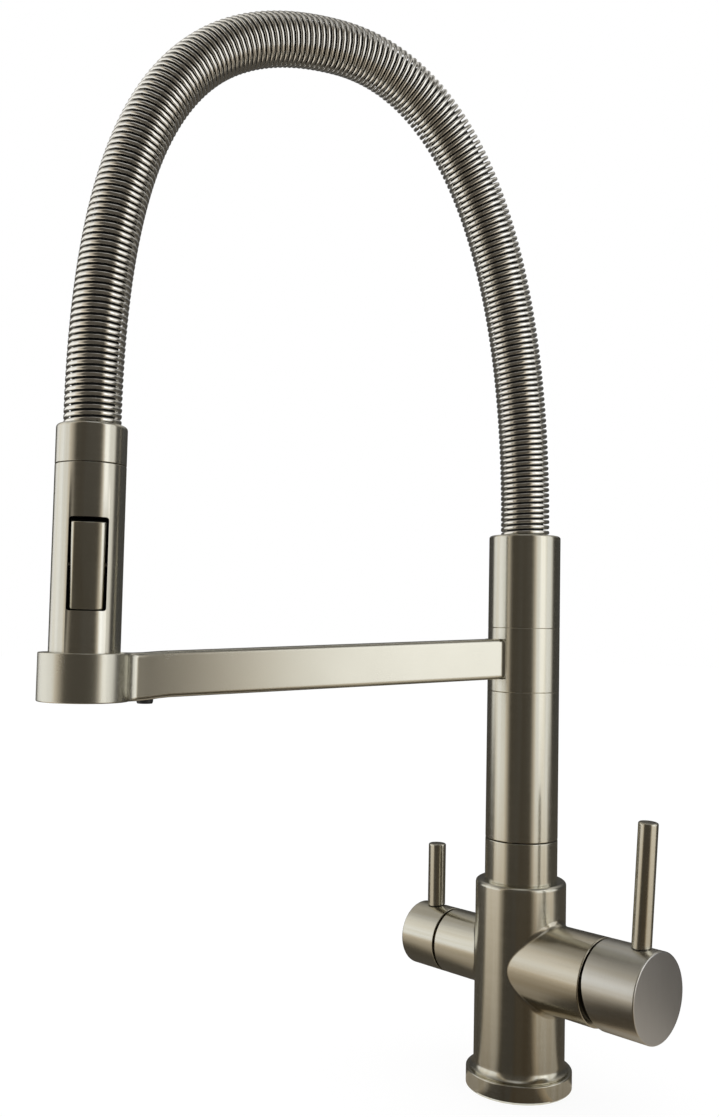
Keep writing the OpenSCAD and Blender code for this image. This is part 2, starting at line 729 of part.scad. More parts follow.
// Filter valve
module filter_valve() {
  color(white) filter_place() difference() {
    rod(filter_valve_r, filter_valve_x - filter_valve_l, filter_valve_x);
    rod(spindle_d / 2 + running, spindle_x, filter_valve_x + over);
  }
}

module filter_valve_nut() {
  color(brass) filter_place() pipe(filter_valve_r, spindle_d / 2 + play, filter_valve_x, filter_nut_x);
}

module filter_spindle() {
  color(brass) filter_place() rod(spindle_d / 2, spindle_x + play, spindle_end);
}

module filter_cap() {
  lever_x = filter_cap_x + filter_lever_x;
  color(nickel) difference() {
    filter_place() rotate_extrude() polygon([
      [0, filter_cap_x], [filter_r, filter_cap_x], [filter_r, filter_cap_x + filter_cap_l - cap_chamfer],
      [filter_r - cap_chamfer, filter_cap_x + filter_cap_l], [0, filter_cap_x + filter_cap_l]]);
    filter_place() rod(filter_r - cap_wall, filter_cap_x - over, filter_block_x);
    filter_place() rod(spindle_d / 2 + fit, filter_block_x - over, spindle_end + fit);
    translate([-lever_x, 0, axis_h]) rod(lever_d / 2 + fit, filter_lever_foot - fit, 2 * filter_r);
    translate([-lever_x, 0, axis_h]) rod(grub_d / 2 + fit, -filter_d, 0);
  }
}

module filter_lever() {
  color(nickel) translate([-filter_cap_x - filter_lever_x, 0, axis_h])
    lever(filter_lever_foot, filter_lever_h);
}

module filter_grub_screw() {
  color(black) grub_screw(-filter_cap_x - filter_lever_x, spindle_d / 2);
}

// Riser and arm
module riser_tube() {
  color(nickel) broken_pipe(tube_r, tube_bore_r, riser_z, collar_z, joint_break);
}

module swivel_bush() {
  color(white) pipe(insert_r, spigot_r + running, riser_z, spigot_top);
}

module joining_sleeve() {
  color(brass) pipe(insert_r, insert_r - sleeve_wall, collar_z - sleeve_reach, nipple_z);
}

module arm_way() {
  translate([0, 0, arm_z]) rotate([0, 90 + arm_fall, 0]) children();
}

module support_arm() {
  color(nickel) spout_place() difference() {
    union() {
      broken_pipe(tube_r, tube_bore_r, collar_z, upper_z, joint_break);
      arm_way() linear_extrude(reach / cos(arm_fall)) rounded_box(arm_bar_h, arm_w, arm_edge_r);
      intersection() {
        translate([0, 0, collar_z]) linear_extrude(arm_collar_h) corner_web(tube_r, arm_w, arm_root_r);
        arm_way() linear_extrude(reach) square([arm_bar_h - 2 * arm_edge_r, tube_d], center = true);
      }
      translate([reach, 0, 0]) {
        broken_pipe(dock_r, dock_bore_r, dock_z, dock_top, dock_break);
        translate([0, 0, dock_z + dock_break]) linear_extrude(dock_h - 2 * dock_break)
          mirror([1, 0]) corner_web(dock_r, arm_w, dock_fillet_r);
      }
    }
    rod(tube_bore_r, collar_z - over, upper_z + over);
    translate([reach, 0, 0]) rod(dock_bore_r, dock_z - dock_h, dock_top + dock_h);
    arm_way() rod(filter_tube_d / 2 + fit, 0, outlet_reach);
    translate([outlet_reach, 0, 0]) {
      rod(outlet_d / 2 + fit, dock_z - dock_h, outlet_seat + fit);
      rod(outlet_d / 2 - outlet_wall, outlet_seat, outlet_way_top);
    }
  }
}

module filter_tube() {
  color(white) spout_place() arm_way() rod(filter_tube_d / 2, filter_tube_start, filter_tube_end);
}

module filter_outlet() {
  color(black) spout_place() translate([outlet_reach, 0, 0])
    pipe(outlet_d / 2, outlet_d / 2 - outlet_wall, outlet_face, outlet_seat);
}

module dock_liner() {
  color(black) head_place() difference() {
    rod(dock_bore_r - fit, liner_z, dock_top - liner_drop);
    rod(liner_bore_r, liner_z + liner_lip_t, dock_top);
    rod(head_r - liner_lip_w, liner_z - over, dock_top);
  }
}

module upper_tube() {
  color(nickel) difference() {
    rotate_extrude() round_shoulder(tube_r, upper_z, upper_top, upper_edge_r);
    rod(tube_bore_r, upper_z - over, upper_top - upper_top_t);
    rod(spring_d / 2 + spring_play, upper_z, upper_top + over);
  }
}

module hose_nipple() {
  color(brass) pipe(insert_r, nipple_bore_d / 2, nipple_z, nipple_top);
}

module spray_hose() {
  color(black) spout_place() swept_tube(hose_rings);
}

module hose_spring() {
  color(nickel) spout_place() swept_tube(wire_rings);
}

// Spray head
module head_collar() {
  color(nickel) head_place() difference() {
    rotate_extrude() round_shoulder(head_r, head_collar_z, head_collar_top, head_edge_r);
    rod(spring_d / 2 + spring_play, collar_seat_z, head_collar_top + over);
    rod(connector_d / 2 + fit, head_collar_z - over, head_collar_top);
  }
}

module hose_connector() {
  color(brass) head_place() rod(connector_d / 2, head_top - connector_in, collar_seat_z);
}

module head_shell() {
  color(nickel) difference() {
    head_place() difference() {
      rod(head_r, head_z, head_top);
      rod(head_r - head_wall, head_z - over, head_top - head_top_t);
      rod(connector_d / 2 + play, head_z, head_top + over);
    }
    button_place() translate([pocket_back, 0, window_mid]) rotate([90, 0, 90]) linear_extrude(head_d)
      rounded_box(window_w, window_h, window_r);
  }
}

module diverter_core() {
  color(black) difference() {
    head_place() difference() {
      rod(core_r, core_z, head_top - head_top_t - fit);
      rod(connector_d / 2 + running, head_top - connector_in - play, head_top);
    }
    button_place() translate([pocket_back, -window_w / 2, window_mid - window_h / 2])
      cube([head_d, window_w, window_h]);
    pivot_place() rotate([90, 0, 0])
      cylinder(r = button_pin_d / 2 + running, h = pin_l + 2 * fit, center = true);
  }
}

module button_pin() {
  color(nickel) pivot_place() rotate([90, 0, 0]) cylinder(r = button_pin_d / 2, h = pin_l, center = true);
}

// Rocker with its lower end pressed in
module mode_button() {
  boss_r = button_pin_d / 2 + button_boss_wall;
  color(nickel) pivot_place() rotate([0, button_tilt, 0]) difference() {
    union() {
      intersection() {
        translate([-button_pivot_x, 0, 0]) cylinder(r = head_r, h = button_h, center = true);
        translate([button_web, 0, 0]) rotate([90, 0, 90]) linear_extrude(head_d)
          rounded_box(button_w, button_h, window_r);
      }
      rotate([90, 0, 0]) cylinder(r = boss_r, h = button_w, center = true);
    }
    rotate([90, 0, 0]) cylinder(r = button_pin_d / 2 + running, h = window_w, center = true);
  }
}

module nozzle_places() {
  for (i = [0 : nozzle_n - 1]) rotate([0, 0, 360 * i / nozzle_n])
    translate([nozzle_circle_r, 0, 0]) children();
}

module spray_face() {
  color(black) head_place() difference() {
    rod(core_r, face_z, face_top);
    rod(aerator_d / 2 + fit, face_z - over, face_top + over);
    nozzle_places() rod(nozzle_d / 2 + fit, face_z - over, face_top + over);
  }
}

module spray_nozzles() {
  color(white) head_place() {
    pipe(core_r - nozzle_plate_in, aerator_d / 2 + fit, face_top, face_top + nozzle_plate_t);
    nozzle_places() rod(nozzle_d / 2, face_z - nozzle_out, face_top + nozzle_plate_t / 2);
  }
}

module aerator() {
  color(black) head_place() rod(aerator_d / 2, face_z + aerator_recess, core_z);
}

base_flange();
base_seal();
inlet_manifold();
valve_body();
neck_collar();
swivel_spigot();
swivel_seals();
mixer_cartridge();
cartridge_nut();
cartridge_dome();
filter_valve();
filter_valve_nut();
riser_tube();
swivel_bush();
joining_sleeve();
support_arm();
filter_tube();
filter_outlet();
dock_liner();
upper_tube();
hose_nipple();
spray_hose();
hose_spring();
head_collar();
hose_connector();
head_shell();
diverter_core();
spray_face();
spray_nozzles();
aerator();
button_pin();
mode_button();
cartridge_carrier();
pivot_pin();
mixer_stem();
mixer_cap();
mixer_lever();
mixer_grub_screw();
filter_spindle();
filter_cap();
filter_lever();
filter_grub_screw();
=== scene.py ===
"""Looks of the deck-mounted kitchen tap: satin nickel pieces turned, swept and
blended round the fixed frame."""
import json
import math

import bmesh
import bpy
import numpy as np
from mathutils import Matrix, Vector


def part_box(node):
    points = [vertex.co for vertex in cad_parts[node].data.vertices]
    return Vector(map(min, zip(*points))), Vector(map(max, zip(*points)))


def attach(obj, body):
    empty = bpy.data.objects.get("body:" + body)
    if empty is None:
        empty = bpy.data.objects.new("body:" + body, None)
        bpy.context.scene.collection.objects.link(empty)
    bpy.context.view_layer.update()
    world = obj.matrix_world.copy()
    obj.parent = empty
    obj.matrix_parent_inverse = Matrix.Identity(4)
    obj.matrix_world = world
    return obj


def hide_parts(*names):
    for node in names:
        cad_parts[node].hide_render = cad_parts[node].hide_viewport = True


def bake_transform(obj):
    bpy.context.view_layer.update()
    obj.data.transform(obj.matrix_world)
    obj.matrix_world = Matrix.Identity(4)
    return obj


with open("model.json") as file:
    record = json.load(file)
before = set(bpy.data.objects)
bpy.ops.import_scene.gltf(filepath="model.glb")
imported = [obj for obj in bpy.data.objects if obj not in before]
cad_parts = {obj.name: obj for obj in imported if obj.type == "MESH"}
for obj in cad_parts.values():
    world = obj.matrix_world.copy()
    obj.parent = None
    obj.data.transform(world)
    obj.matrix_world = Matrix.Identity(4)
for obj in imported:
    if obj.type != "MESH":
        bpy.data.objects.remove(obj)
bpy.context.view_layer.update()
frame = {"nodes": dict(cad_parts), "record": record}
MM = 0.001


# Places and sizes read from the frame

def half_width(node, axis=0):
    low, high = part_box(node)
    return (high[axis] - low[axis]) / 2


def middle(node):
    low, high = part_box(node)
    return (low + high) / 2


def heights(node):
    low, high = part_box(node)
    return low.z, high.z


tube_r = half_width("riser_tube")
flange_r = half_width("base_flange")
head_r = half_width("head_collar")
head_axis = middle("hose_connector")
handle_z = middle("mixer_cap").z
mixer_r = half_width("mixer_cap", 1)
filter_r = half_width("filter_cap", 1)
mixer_branch_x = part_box("valve_body")[1].x
filter_branch_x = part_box("valve_body")[0].x
spout_angle = math.atan2(head_axis.y, head_axis.x)
reach = math.hypot(head_axis.x, head_axis.y)

# Sizes that a node's box doesn't show, in metres
flange_wall = 8.0 * MM
flange_low_edge_r = 0.5 * MM
flange_top_edge_r = 0.55 * MM
body_r = 21.85 * MM
body_edge_r = 1.8 * MM
shoulder_h = 5.0 * MM
foot_flare = 1.9 * MM
foot_arc_r = 4.0 * MM
foot_rim = 0.9 * MM
saddle_r = 2.6 * MM
branch_lip = 2.0 * MM
branch_edge_r = 0.5 * MM
mixer_branch_wall = 2.6 * MM
mixer_bore_end = 24.0 * MM
filter_branch_wall = 2.8 * MM
filter_bore_end = 26.0 * MM
neck_wall = 6.0 * MM
joint_break = 0.28 * MM
tube_bore_r = tube_r - 1.5 * MM
upper_top_t = 3.0 * MM
upper_edge_r = 1.2 * MM
mixer_tilt = math.radians(14)
mixer_gap = 1.25 * MM
mixer_cut_h = 5.0 * MM
mixer_cut_ease = 3.0 * MM
mixer_cap_floor = 14.0 * MM
mixer_floor_r = 0.5 * MM
dome_wall = 1.5 * MM
filter_gap_added = 0.4 * MM
filter_cap_floor = 6.3 * MM
filter_floor_r = 0.4 * MM
cap_wall = 1.6 * MM
cap_end_margin = 0.1 * MM
lever_r = 4.5 * MM
lever_tip_r = 0.8 * MM
lever_groove_h = 0.45 * MM
lever_groove_r = 0.12 * MM
lever_neck_r = lever_r - 0.5 * MM
lever_neck_margin = 0.1 * MM
lever_foot_h = 8.0 * MM
mixer_lever_x = mixer_branch_x + 19.9 * MM
mixer_lever_lean = math.radians(3.3)
mixer_lever_foot = 11.0 * MM
mixer_lever_h = 75.6 * MM
arm_half_w = 6.75 * MM
arm_half_h = 9.65 * MM
arm_edge_r = 2.0 * MM
arm_side_margin = 0.3 * MM
arm_fall = math.radians(2.55)
arm_mid = 16.5 * MM
arm_root_r = 2.5 * MM
arm_ease_start = 34.0 * MM
arm_ease_end = 20.0 * MM
dock_fillet_r = 6.0 * MM
dock_edge_r = 0.5 * MM
dock_wall = 1.6 * MM
dock_play = 0.1 * MM
dock_below = 9.6 * MM
dock_above = 10.3 * MM
head_wall = 1.5 * MM
head_top_t = 2.0 * MM
head_top_edge_r = 0.25 * MM
head_hole_r = 6.4 * MM
collar_hole_r = 6.1 * MM
collar_seat = 6.0 * MM
collar_edge_r = 1.5 * MM
window_w = 15.8 * MM
window_h = 37.9 * MM
window_z = 35.3 * MM
window_corner_r = 1.2 * MM
window_edge = 0.22 * MM
window_cut = (2.0 * MM, 30.0 * MM)
button_turn = math.radians(78)
button_w = 13.9 * MM
button_h = 35.4 * MM
button_web = 7.0 * MM
button_side_r = 2.2 * MM
button_end_r = 0.5 * MM
button_pivot_depth = 11.0 * MM
button_tilt = math.radians(5)
outlet_wall = 1.2 * MM
outlet_bore_h = 1.2 * MM
outlet_lip_w = 0.3 * MM
outlet_lip_h = 1.0 * MM
spring_r = 12.0 * MM
spring_hole_r = spring_r + 0.4 * MM
spring_pitch = 2.62 * MM
wire_r = 0.9 * MM
wire_squareness = 2.7
hose_r = 9.0 * MM
hose_start_gap = 0.3 * MM
hose_end_depth = 5.6 * MM
arch_rise = 223.7 * MM
arch_end_rise = 3.0 * MM
arch_step = 1.5 * MM
riser_pull = 130.7 * MM
crown_pull_riser = 71.2 * MM
crown_pull_head = 79.4 * MM
head_pull = 123.7 * MM

# Edge rounds that several pieces share
hair_r = 0.1 * MM
bore_edge_r = 0.15 * MM
fine_r = 0.2 * MM
soft_r = 0.3 * MM
rim_r = 0.6 * MM

# Fineness of the meshes
SHARP_DEGREES = 34
WIRE_SHARP_DEGREES = 60
BEVEL_DEGREES = 40
BEVEL_STEPS = 2
TOUCHING = 1e-7
SUPPORT_MARGIN = 0.3 * MM
ROUND_STEPS = 144
FINE_ROUND_STEPS = 160
SHELL_ROUND_STEPS = 192
DOCK_ROUND_STEPS = 128
LEVER_ROUND_STEPS = 64
NOZZLE_ROUND_STEPS = 48
CORNER_STEPS = 6
RIM_CORNER_STEPS = 4
NOZZLE_CORNER_STEPS = 3
FILLET_STEPS = 8
DOME_STEPS = 20
BEND_DEGREES = 15
BAR_POINTS = 40
DOCK_FILLET_STEPS = 14
DOCK_RING_STEPS = 96
KEY_FACE_STEPS = 24
KEY_END_RINGS = 6
ARCH_POINTS = 400
HOSE_RINGS = 160
HOSE_SIDES = 24
WIRE_STEPS_PER_TURN = 18
WIRE_SIDES = 12


# Meshes

def add_piece(name, verts, faces, sharp_degrees=SHARP_DEGREES):
    """A linked mesh object with outward normals, smooth apart from edges sharper than the given angle."""
    mesh = bpy.data.meshes.new(name)
    mesh.from_pydata([tuple(v) for v in verts], [], faces)
    tidy = bmesh.new()
    tidy.from_mesh(mesh)
    bmesh.ops.remove_doubles(tidy, verts=tidy.verts, dist=TOUCHING)
    bmesh.ops.recalc_face_normals(tidy, faces=tidy.faces)
    tidy.to_mesh(mesh)
    tidy.free()
    piece = bpy.data.objects.new(name, mesh)
    bpy.context.scene.collection.objects.link(piece)
    shade(piece, sharp_degrees)
    return piece


def shade(piece, sharp_degrees=SHARP_DEGREES):
    piece.data.shade_smooth()
    piece.data.set_sharp_from_angle(angle=math.radians(sharp_degrees))


def turns_round(steps):
    """Angles of even steps round a circle."""
    return [2 * math.pi * k / steps for k in range(steps)]


def arc(centre, radius, start, end, steps):
    """Points on a circle from the start angle to the end angle, both in degrees."""
    angles = np.radians(np.linspace(start, end, steps + 1))
    return [(centre[0] + radius * math.cos(a), centre[1] + radius * math.sin(a)) for a in angles]


def rounded(corners, steps=CORNER_STEPS, closed=True):
    """An outline whose corners (u, v, radius) are rounded."""
    points = []
    count = len(corners)
    for i, (u, v, radius) in enumerate(corners):
        here = np.array((u, v))
        at_end = not closed and i in (0, count - 1)
        if radius <= 0 or at_end:
            points.append((u, v))
            continue
        back = np.array(corners[i - 1][:2]) - here
        on = np.array(corners[(i + 1) % count][:2]) - here
        back /= np.linalg.norm(back)
        on /= np.linalg.norm(on)
        half = math.acos(max(-1.0, min(1.0, float(back @ on)))) / 2
        centre = here + (back + on) / np.linalg.norm(back + on) * radius / math.sin(half)
        first = here + back * radius / math.tan(half) - centre
        last = here + on * radius / math.tan(half) - centre
        turn = math.atan2(first[0] * last[1] - first[1] * last[0], float(first @ last))
        for k in range(steps + 1):
            a = turn * k / steps
            points.append((
                centre[0] + first[0] * math.cos(a) - first[1] * math.sin(a),
                centre[1] + first[0] * math.sin(a) + first[1] * math.cos(a)))
    return points


def supported(points, closed):
    """The outline with a point close to each end of its long stretches, to keep smooth shading flat."""
    result = []
    count = len(points)
    for i, p in enumerate(points):
        result.append(p)
        if not closed and i == count - 1:
            break
        q = points[(i + 1) % count]
        length = math.dist(p, q)
        if length > 4 * SUPPORT_MARGIN:
            share = SUPPORT_MARGIN / length
            for s in (share, 1 - share):
                result.append((p[0] + (q[0] - p[0]) * s, p[1] + (q[1] - p[1]) * s))
    return result


def lathe(name, section, place=Matrix(), closed=True, steps=ROUND_STEPS, warp=None):
    """A solid of revolution about the place's Z. The section is a list of (radius, height)."""
    verts, faces, rings = [], [], []
    for r, z in supported(section, closed):
        if r < TOUCHING:
            rings.append([len(verts)])
            verts.append(place @ Vector((0, 0, z)))
            continue
        ring = []
        for a in turns_round(steps):
            height = warp(r, a, z) if warp else z
            ring.append(len(verts))
            verts.append(place @ Vector((r * math.cos(a), r * math.sin(a), height)))
        rings.append(ring)
    pairs = list(zip(rings, rings[1:]))
    if closed:
        pairs.append((rings[-1], rings[0]))
    for one, two in pairs:
        faces += strip(one, two)
    return add_piece(name, verts, faces)


def strip(one, two):
    """Faces between two closed rings of vertices, either of which may be a single point."""
    n = max(len(one), len(two))
    faces = []
    for k in range(n):
        after = (k + 1) % n
        corners = [one[k % len(one)], one[after % len(one)], two[after % len(two)], two[k % len(two)]]
        face = list(dict.fromkeys(corners))
        if len(face) > 2:
            faces.append(face)
    return faces


def rings_piece(name, rings, sharp_degrees=SHARP_DEGREES):
    """A tube through rings of points with equal counts, closed at both ends."""
    n = len(rings[0])
    verts = [p for ring in rings for p in ring]
    index = [[i * n + k for k in range(n)] for i in range(len(rings))]
    faces = [f for one, two in zip(index, index[1:]) for f in strip(one, two)]
    faces += [index[0][::-1], index[-1]]
    return add_piece(name, verts, faces, sharp_degrees)


def join(name, pieces):
    """One object from several pieces of the same part, with a material index for each."""
    verts, faces, index = [], [], []
    for number, piece in enumerate(pieces):
        start = len(verts)
        verts += [v.co.copy() for v in piece.data.vertices]
        faces += [[start + i for i in p.vertices] for p in piece.data.polygons]
        index += [number] * len(piece.data.polygons)
    for piece in pieces:
        bpy.data.objects.remove(piece)
    joined = add_piece(name, verts, faces)
    joined.data.polygons.foreach_set("material_index", index)
    return joined


def cut(piece, cutter):
    """Takes the cutter's form out of the piece, and removes the cutter."""
    modifier = piece.modifiers.new("cut", "BOOLEAN")
    modifier.operation = "DIFFERENCE"
    modifier.solver = "EXACT"
    modifier.object = cutter
    apply_modifiers(piece)
    bpy.data.objects.remove(cutter)


def soften_edges(piece, width):
    """A small bevel along the sharp edges."""
    modifier = piece.modifiers.new("edges", "BEVEL")
    modifier.width = width
    modifier.segments = BEVEL_STEPS
    modifier.limit_method = "ANGLE"
    modifier.angle_limit = math.radians(BEVEL_DEGREES)
    apply_modifiers(piece)
    shade(piece)


def apply_modifiers(piece):
    bpy.context.view_layer.update()
    view = bpy.context.evaluated_depsgraph_get()
    mesh = bpy.data.meshes.new_from_object(piece.evaluated_get(view))
    piece.modifiers.clear()
    piece.data = mesh


# Materials

NICKEL_TINT = (0.65, 0.634, 0.55)
NICKEL_ROUGHNESS = (0.17, 0.27)
LINES_ROUND_Z, STREAK_ALONG_Z = (0.08, 0.08, 1.0), (1.0, 1.0, 0.02)
LINES_ROUND_X, STREAK_ALONG_X = (1.0, 0.08, 0.08), (0.02, 1.0, 1.0)
NO_STRETCH = (1, 1, 1)
LINE_SCALE = 900.0
LINE_TONES = (0.96, 1.03)
LINE_RELIEF = 0.02
CLOUD_SCALE = 38.0
CLOUD_ROUGHNESS = (-0.03, 0.03)
STREAK_SCALE = 240.0
STREAK_RANGE = (0.42, 0.64)
STREAK_TONE = (0.90, 0.87, 0.82)
ANISOTROPY = 0.55
QUARTER_TURN = 0.25
PLAIN_SCALE = 400.0
PLAIN_TONES = (0.88, 1.12)
PLAIN_ROUGHNESS_CHANGE = 0.06
PLAIN_RELIEF = 0.25
FINE_DETAIL, BROAD_DETAIL = 4.0, 2.0
RELIEF_DEPTH = 0.03 * MM


def new_material(name):
    material = bpy.data.materials.new(name)
    material.use_nodes = True
    nodes = material.node_tree.nodes
    return material, nodes, material.node_tree.links, nodes["Principled BSDF"]


def mapped_noise(nodes, links, stretch, scale, detail, turn=0.0):
    """Noise in the object's own coordinates, drawn out along axes turned about Z."""
    place = nodes.new("ShaderNodeTexCoord")
    mapping = nodes.new("ShaderNodeMapping")
    mapping.vector_type = "TEXTURE"
    mapping.inputs["Rotation"].default_value = (0, 0, turn)
    mapping.inputs["Scale"].default_value = [1 / s for s in stretch]
    noise = nodes.new("ShaderNodeTexNoise")
    noise.inputs["Scale"].default_value = scale
    noise.inputs["Detail"].default_value = detail
    links.new(place.outputs["Object"], mapping.inputs["Vector"])
    links.new(mapping.outputs["Vector"], noise.inputs["Vector"])
    return noise.outputs["Fac"]


def remapped(nodes, links, source, start=(0, 1), end=(0, 1)):
    """A value carried from the start range over to the end range."""
    carry = nodes.new("ShaderNodeMapRange")
    for side, (low, high) in (("From", start), ("To", end)):
        carry.inputs[side + " Min"].default_value = low
        carry.inputs[side + " Max"].default_value = high
    links.new(source, carry.inputs["Value"])
    return carry.outputs["Result"]


def two_tones(nodes, links, source, colour, tones):
    """A colour in two tones, mixed by a value."""
    mix = nodes.new("ShaderNodeMix")
    mix.data_type = "RGBA"
    for socket, tone in zip("AB", tones):
        mix.inputs[socket].default_value = (*[min(1, c * tone) for c in colour], 1)
    links.new(source, mix.inputs["Factor"])
    return mix.outputs["Result"]


def add_relief(nodes, links, source, strength, shader):
    bump = nodes.new("ShaderNodeBump")
    bump.inputs["Strength"].default_value = strength
    bump.inputs["Distance"].default_value = RELIEF_DEPTH
    links.new(source, bump.inputs["Height"])
    links.new(bump.outputs["Normal"], shader.inputs["Normal"])


def brushed_nickel(name, stretch, tangent=None, roughness=NICKEL_ROUGHNESS, tint=NICKEL_TINT, turn=0.0,
                   scale=LINE_SCALE, streak=None):
    """Satin nickel with fine brush lines along the axes that have the least stretch, turned about Z.

    A streak gives it broad brown polishing marks along the axis that has the least streak. A tangent
    axis makes its reflections spread as on a turned piece."""
    material, nodes, links, shader = new_material(name)
    shader.inputs["Metallic"].default_value = 1.0
    lines = mapped_noise(nodes, links, stretch, scale, FINE_DETAIL, turn)
    clouds = mapped_noise(nodes, links, NO_STRETCH, CLOUD_SCALE, BROAD_DETAIL)
    finish = two_tones(nodes, links, lines, tint, LINE_TONES)
    if streak:
        marks = mapped_noise(nodes, links, streak, STREAK_SCALE, BROAD_DETAIL, turn)
        stain = nodes.new("ShaderNodeMix")
        stain.data_type = "RGBA"
        stain.blend_type = "MULTIPLY"
        stain.inputs["B"].default_value = (*STREAK_TONE, 1)
        links.new(remapped(nodes, links, marks, start=STREAK_RANGE), stain.inputs["Factor"])
        links.new(finish, stain.inputs["A"])
        finish = stain.outputs["Result"]
    links.new(finish, shader.inputs["Base Color"])
    both = nodes.new("ShaderNodeMath")
    both.operation = "ADD"
    links.new(remapped(nodes, links, lines, end=roughness), both.inputs[0])
    links.new(remapped(nodes, links, clouds, end=CLOUD_ROUGHNESS), both.inputs[1])
    links.new(both.outputs["Value"], shader.inputs["Roughness"])
    add_relief(nodes, links, lines, LINE_RELIEF, shader)
    if tangent:
        shader.inputs["Anisotropic"].default_value = ANISOTROPY
        shader.inputs["Anisotropic Rotation"].default_value = QUARTER_TURN
        round_axis = nodes.new("ShaderNodeTangent")
        round_axis.direction_type = "RADIAL"
        round_axis.axis = tangent
        links.new(round_axis.outputs["Tangent"], shader.inputs["Tangent"])
    return material


def plain_material(name, colour, roughness, metallic=0.0):
    """Moulded or machined stuff with a fine grain and a slight change of tone."""
    material, nodes, links, shader = new_material(name)
    shader.inputs["Metallic"].default_value = metallic
    grain = mapped_noise(nodes, links, NO_STRETCH, PLAIN_SCALE, FINE_DETAIL)
    links.new(two_tones(nodes, links, grain, colour, PLAIN_TONES), shader.inputs["Base Color"])
    limits = (roughness - PLAIN_ROUGHNESS_CHANGE, roughness + PLAIN_ROUGHNESS_CHANGE)
    links.new(remapped(nodes, links, grain, end=limits), shader.inputs["Roughness"])
    add_relief(nodes, links, grain, PLAIN_RELIEF, shader)
    return material


nickel_upright = brushed_nickel("nickel_upright", LINES_ROUND_Z, "Z", streak=STREAK_ALONG_Z)
nickel_head = brushed_nickel(
    "nickel_head", LINES_ROUND_Z, "Z", tint=(0.68, 0.672, 0.605), streak=STREAK_ALONG_Z)
nickel_across = brushed_nickel("nickel_across", LINES_ROUND_X, "X", streak=STREAK_ALONG_X)
# A darker, warmer copy of nickel_across for the mixer branch of the same casting: painted shade on that
# branch.
nickel_branch_shaded = brushed_nickel(
    "nickel_branch_shaded", LINES_ROUND_X, "X", tint=(0.585, 0.55, 0.455), streak=STREAK_ALONG_X)
nickel_cap = brushed_nickel(
    "nickel_cap", LINES_ROUND_X, "X", (0.28, 0.37), (0.67, 0.66, 0.61), streak=STREAK_ALONG_X)
nickel_arm = brushed_nickel(
    "nickel_arm", (0.04, 1.0, 1.0), roughness=(0.25, 0.28), turn=spout_angle, scale=4000.0)
# Near-black nickel: painted shade for the gap round the cartridge dome and the shadow line at each lever's
# foot.
nickel_painted_shade = brushed_nickel(
    "nickel_painted_shade", LINES_ROUND_X, roughness=(0.38, 0.46), tint=(0.10, 0.097, 0.09))
nickel_face = brushed_nickel(
    "nickel_face", (1.0, 1.0, 0.06), roughness=(0.27, 0.34), tint=(0.55, 0.56, 0.575))
nickel_wire = brushed_nickel(
    "nickel_wire", (0.5, 0.5, 0.5), roughness=(0.10, 0.16), tint=(0.84, 0.825, 0.775))
black_rubber = plain_material("black_rubber", (0.02, 0.02, 0.02), 0.62)
black_plastic = plain_material("black_plastic", (0.018, 0.018, 0.019), 0.45)
white_plastic = plain_material("white_plastic", (0.78, 0.78, 0.75), 0.42)
grey_silicone = plain_material("grey_silicone", (0.32, 0.33, 0.34), 0.55)
raw_brass = plain_material("raw_brass", (0.70, 0.53, 0.27), 0.32, metallic=1.0)
pin_steel = plain_material("pin_steel", (0.56, 0.55, 0.54), 0.28, metallic=1.0)
black_steel = plain_material("black_steel", (0.05, 0.05, 0.05), 0.4, metallic=0.6)

NODE_FINISH = {
    "brushed_nickel": nickel_upright, "spring_steel": nickel_wire, "pin_steel": pin_steel,
    "brass": raw_brass, "black_rubber": black_rubber, "black_plastic": black_plastic,
    "white_plastic": white_plastic, "grey_silicone": grey_silicone, "black_steel": black_steel,
}


def finish_nodes():
    """Every node of the frame takes the finish of its slot."""
    for part in frame["record"]["subparts"]:
        mesh = frame["nodes"][part["node"]].data
        mesh.materials.clear()
        mesh.materials.append(NODE_FINISH[part["material_slot"]])


def dress(piece, materials, body, node):
    """Sets a piece's finish and the body that it rides on, and hides the node that it stands for."""
    for material in materials if isinstance(materials, list) else [materials]:
        piece.data.materials.append(material)
    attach(piece, body)
    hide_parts(node)


# Frames of reference

ALONG_X = Matrix.Translation((0, 0, handle_z)) @ Matrix.Rotation(math.pi / 2, 4, "Y")
ALONG_MINUS_X = Matrix.Translation((0, 0, handle_z)) @ Matrix.Rotation(-math.pi / 2, 4, "Y")
SPOUT = Matrix.Rotation(spout_angle, 4, "Z")
HEAD = Matrix.Translation((head_axis.x, head_axis.y, 0))
BUTTON = HEAD @ Matrix.Rotation(spout_angle + button_turn, 4, "Z")


# Standing parts

def tube_section(r, bore, low, high, low_edge, high_edge):
    return rounded([
        (bore, low, bore_edge_r), (r, low, low_edge), (r, high, high_edge), (bore, high, bore_edge_r)])


def base_flange():
    low, high = heights("base_flange")
    section = tube_section(
        flange_r, flange_r - flange_wall, low, high, flange_low_edge_r, flange_top_edge_r)
    dress(lathe("base_flange_turned", section), nickel_upright, "base", "base_flange")


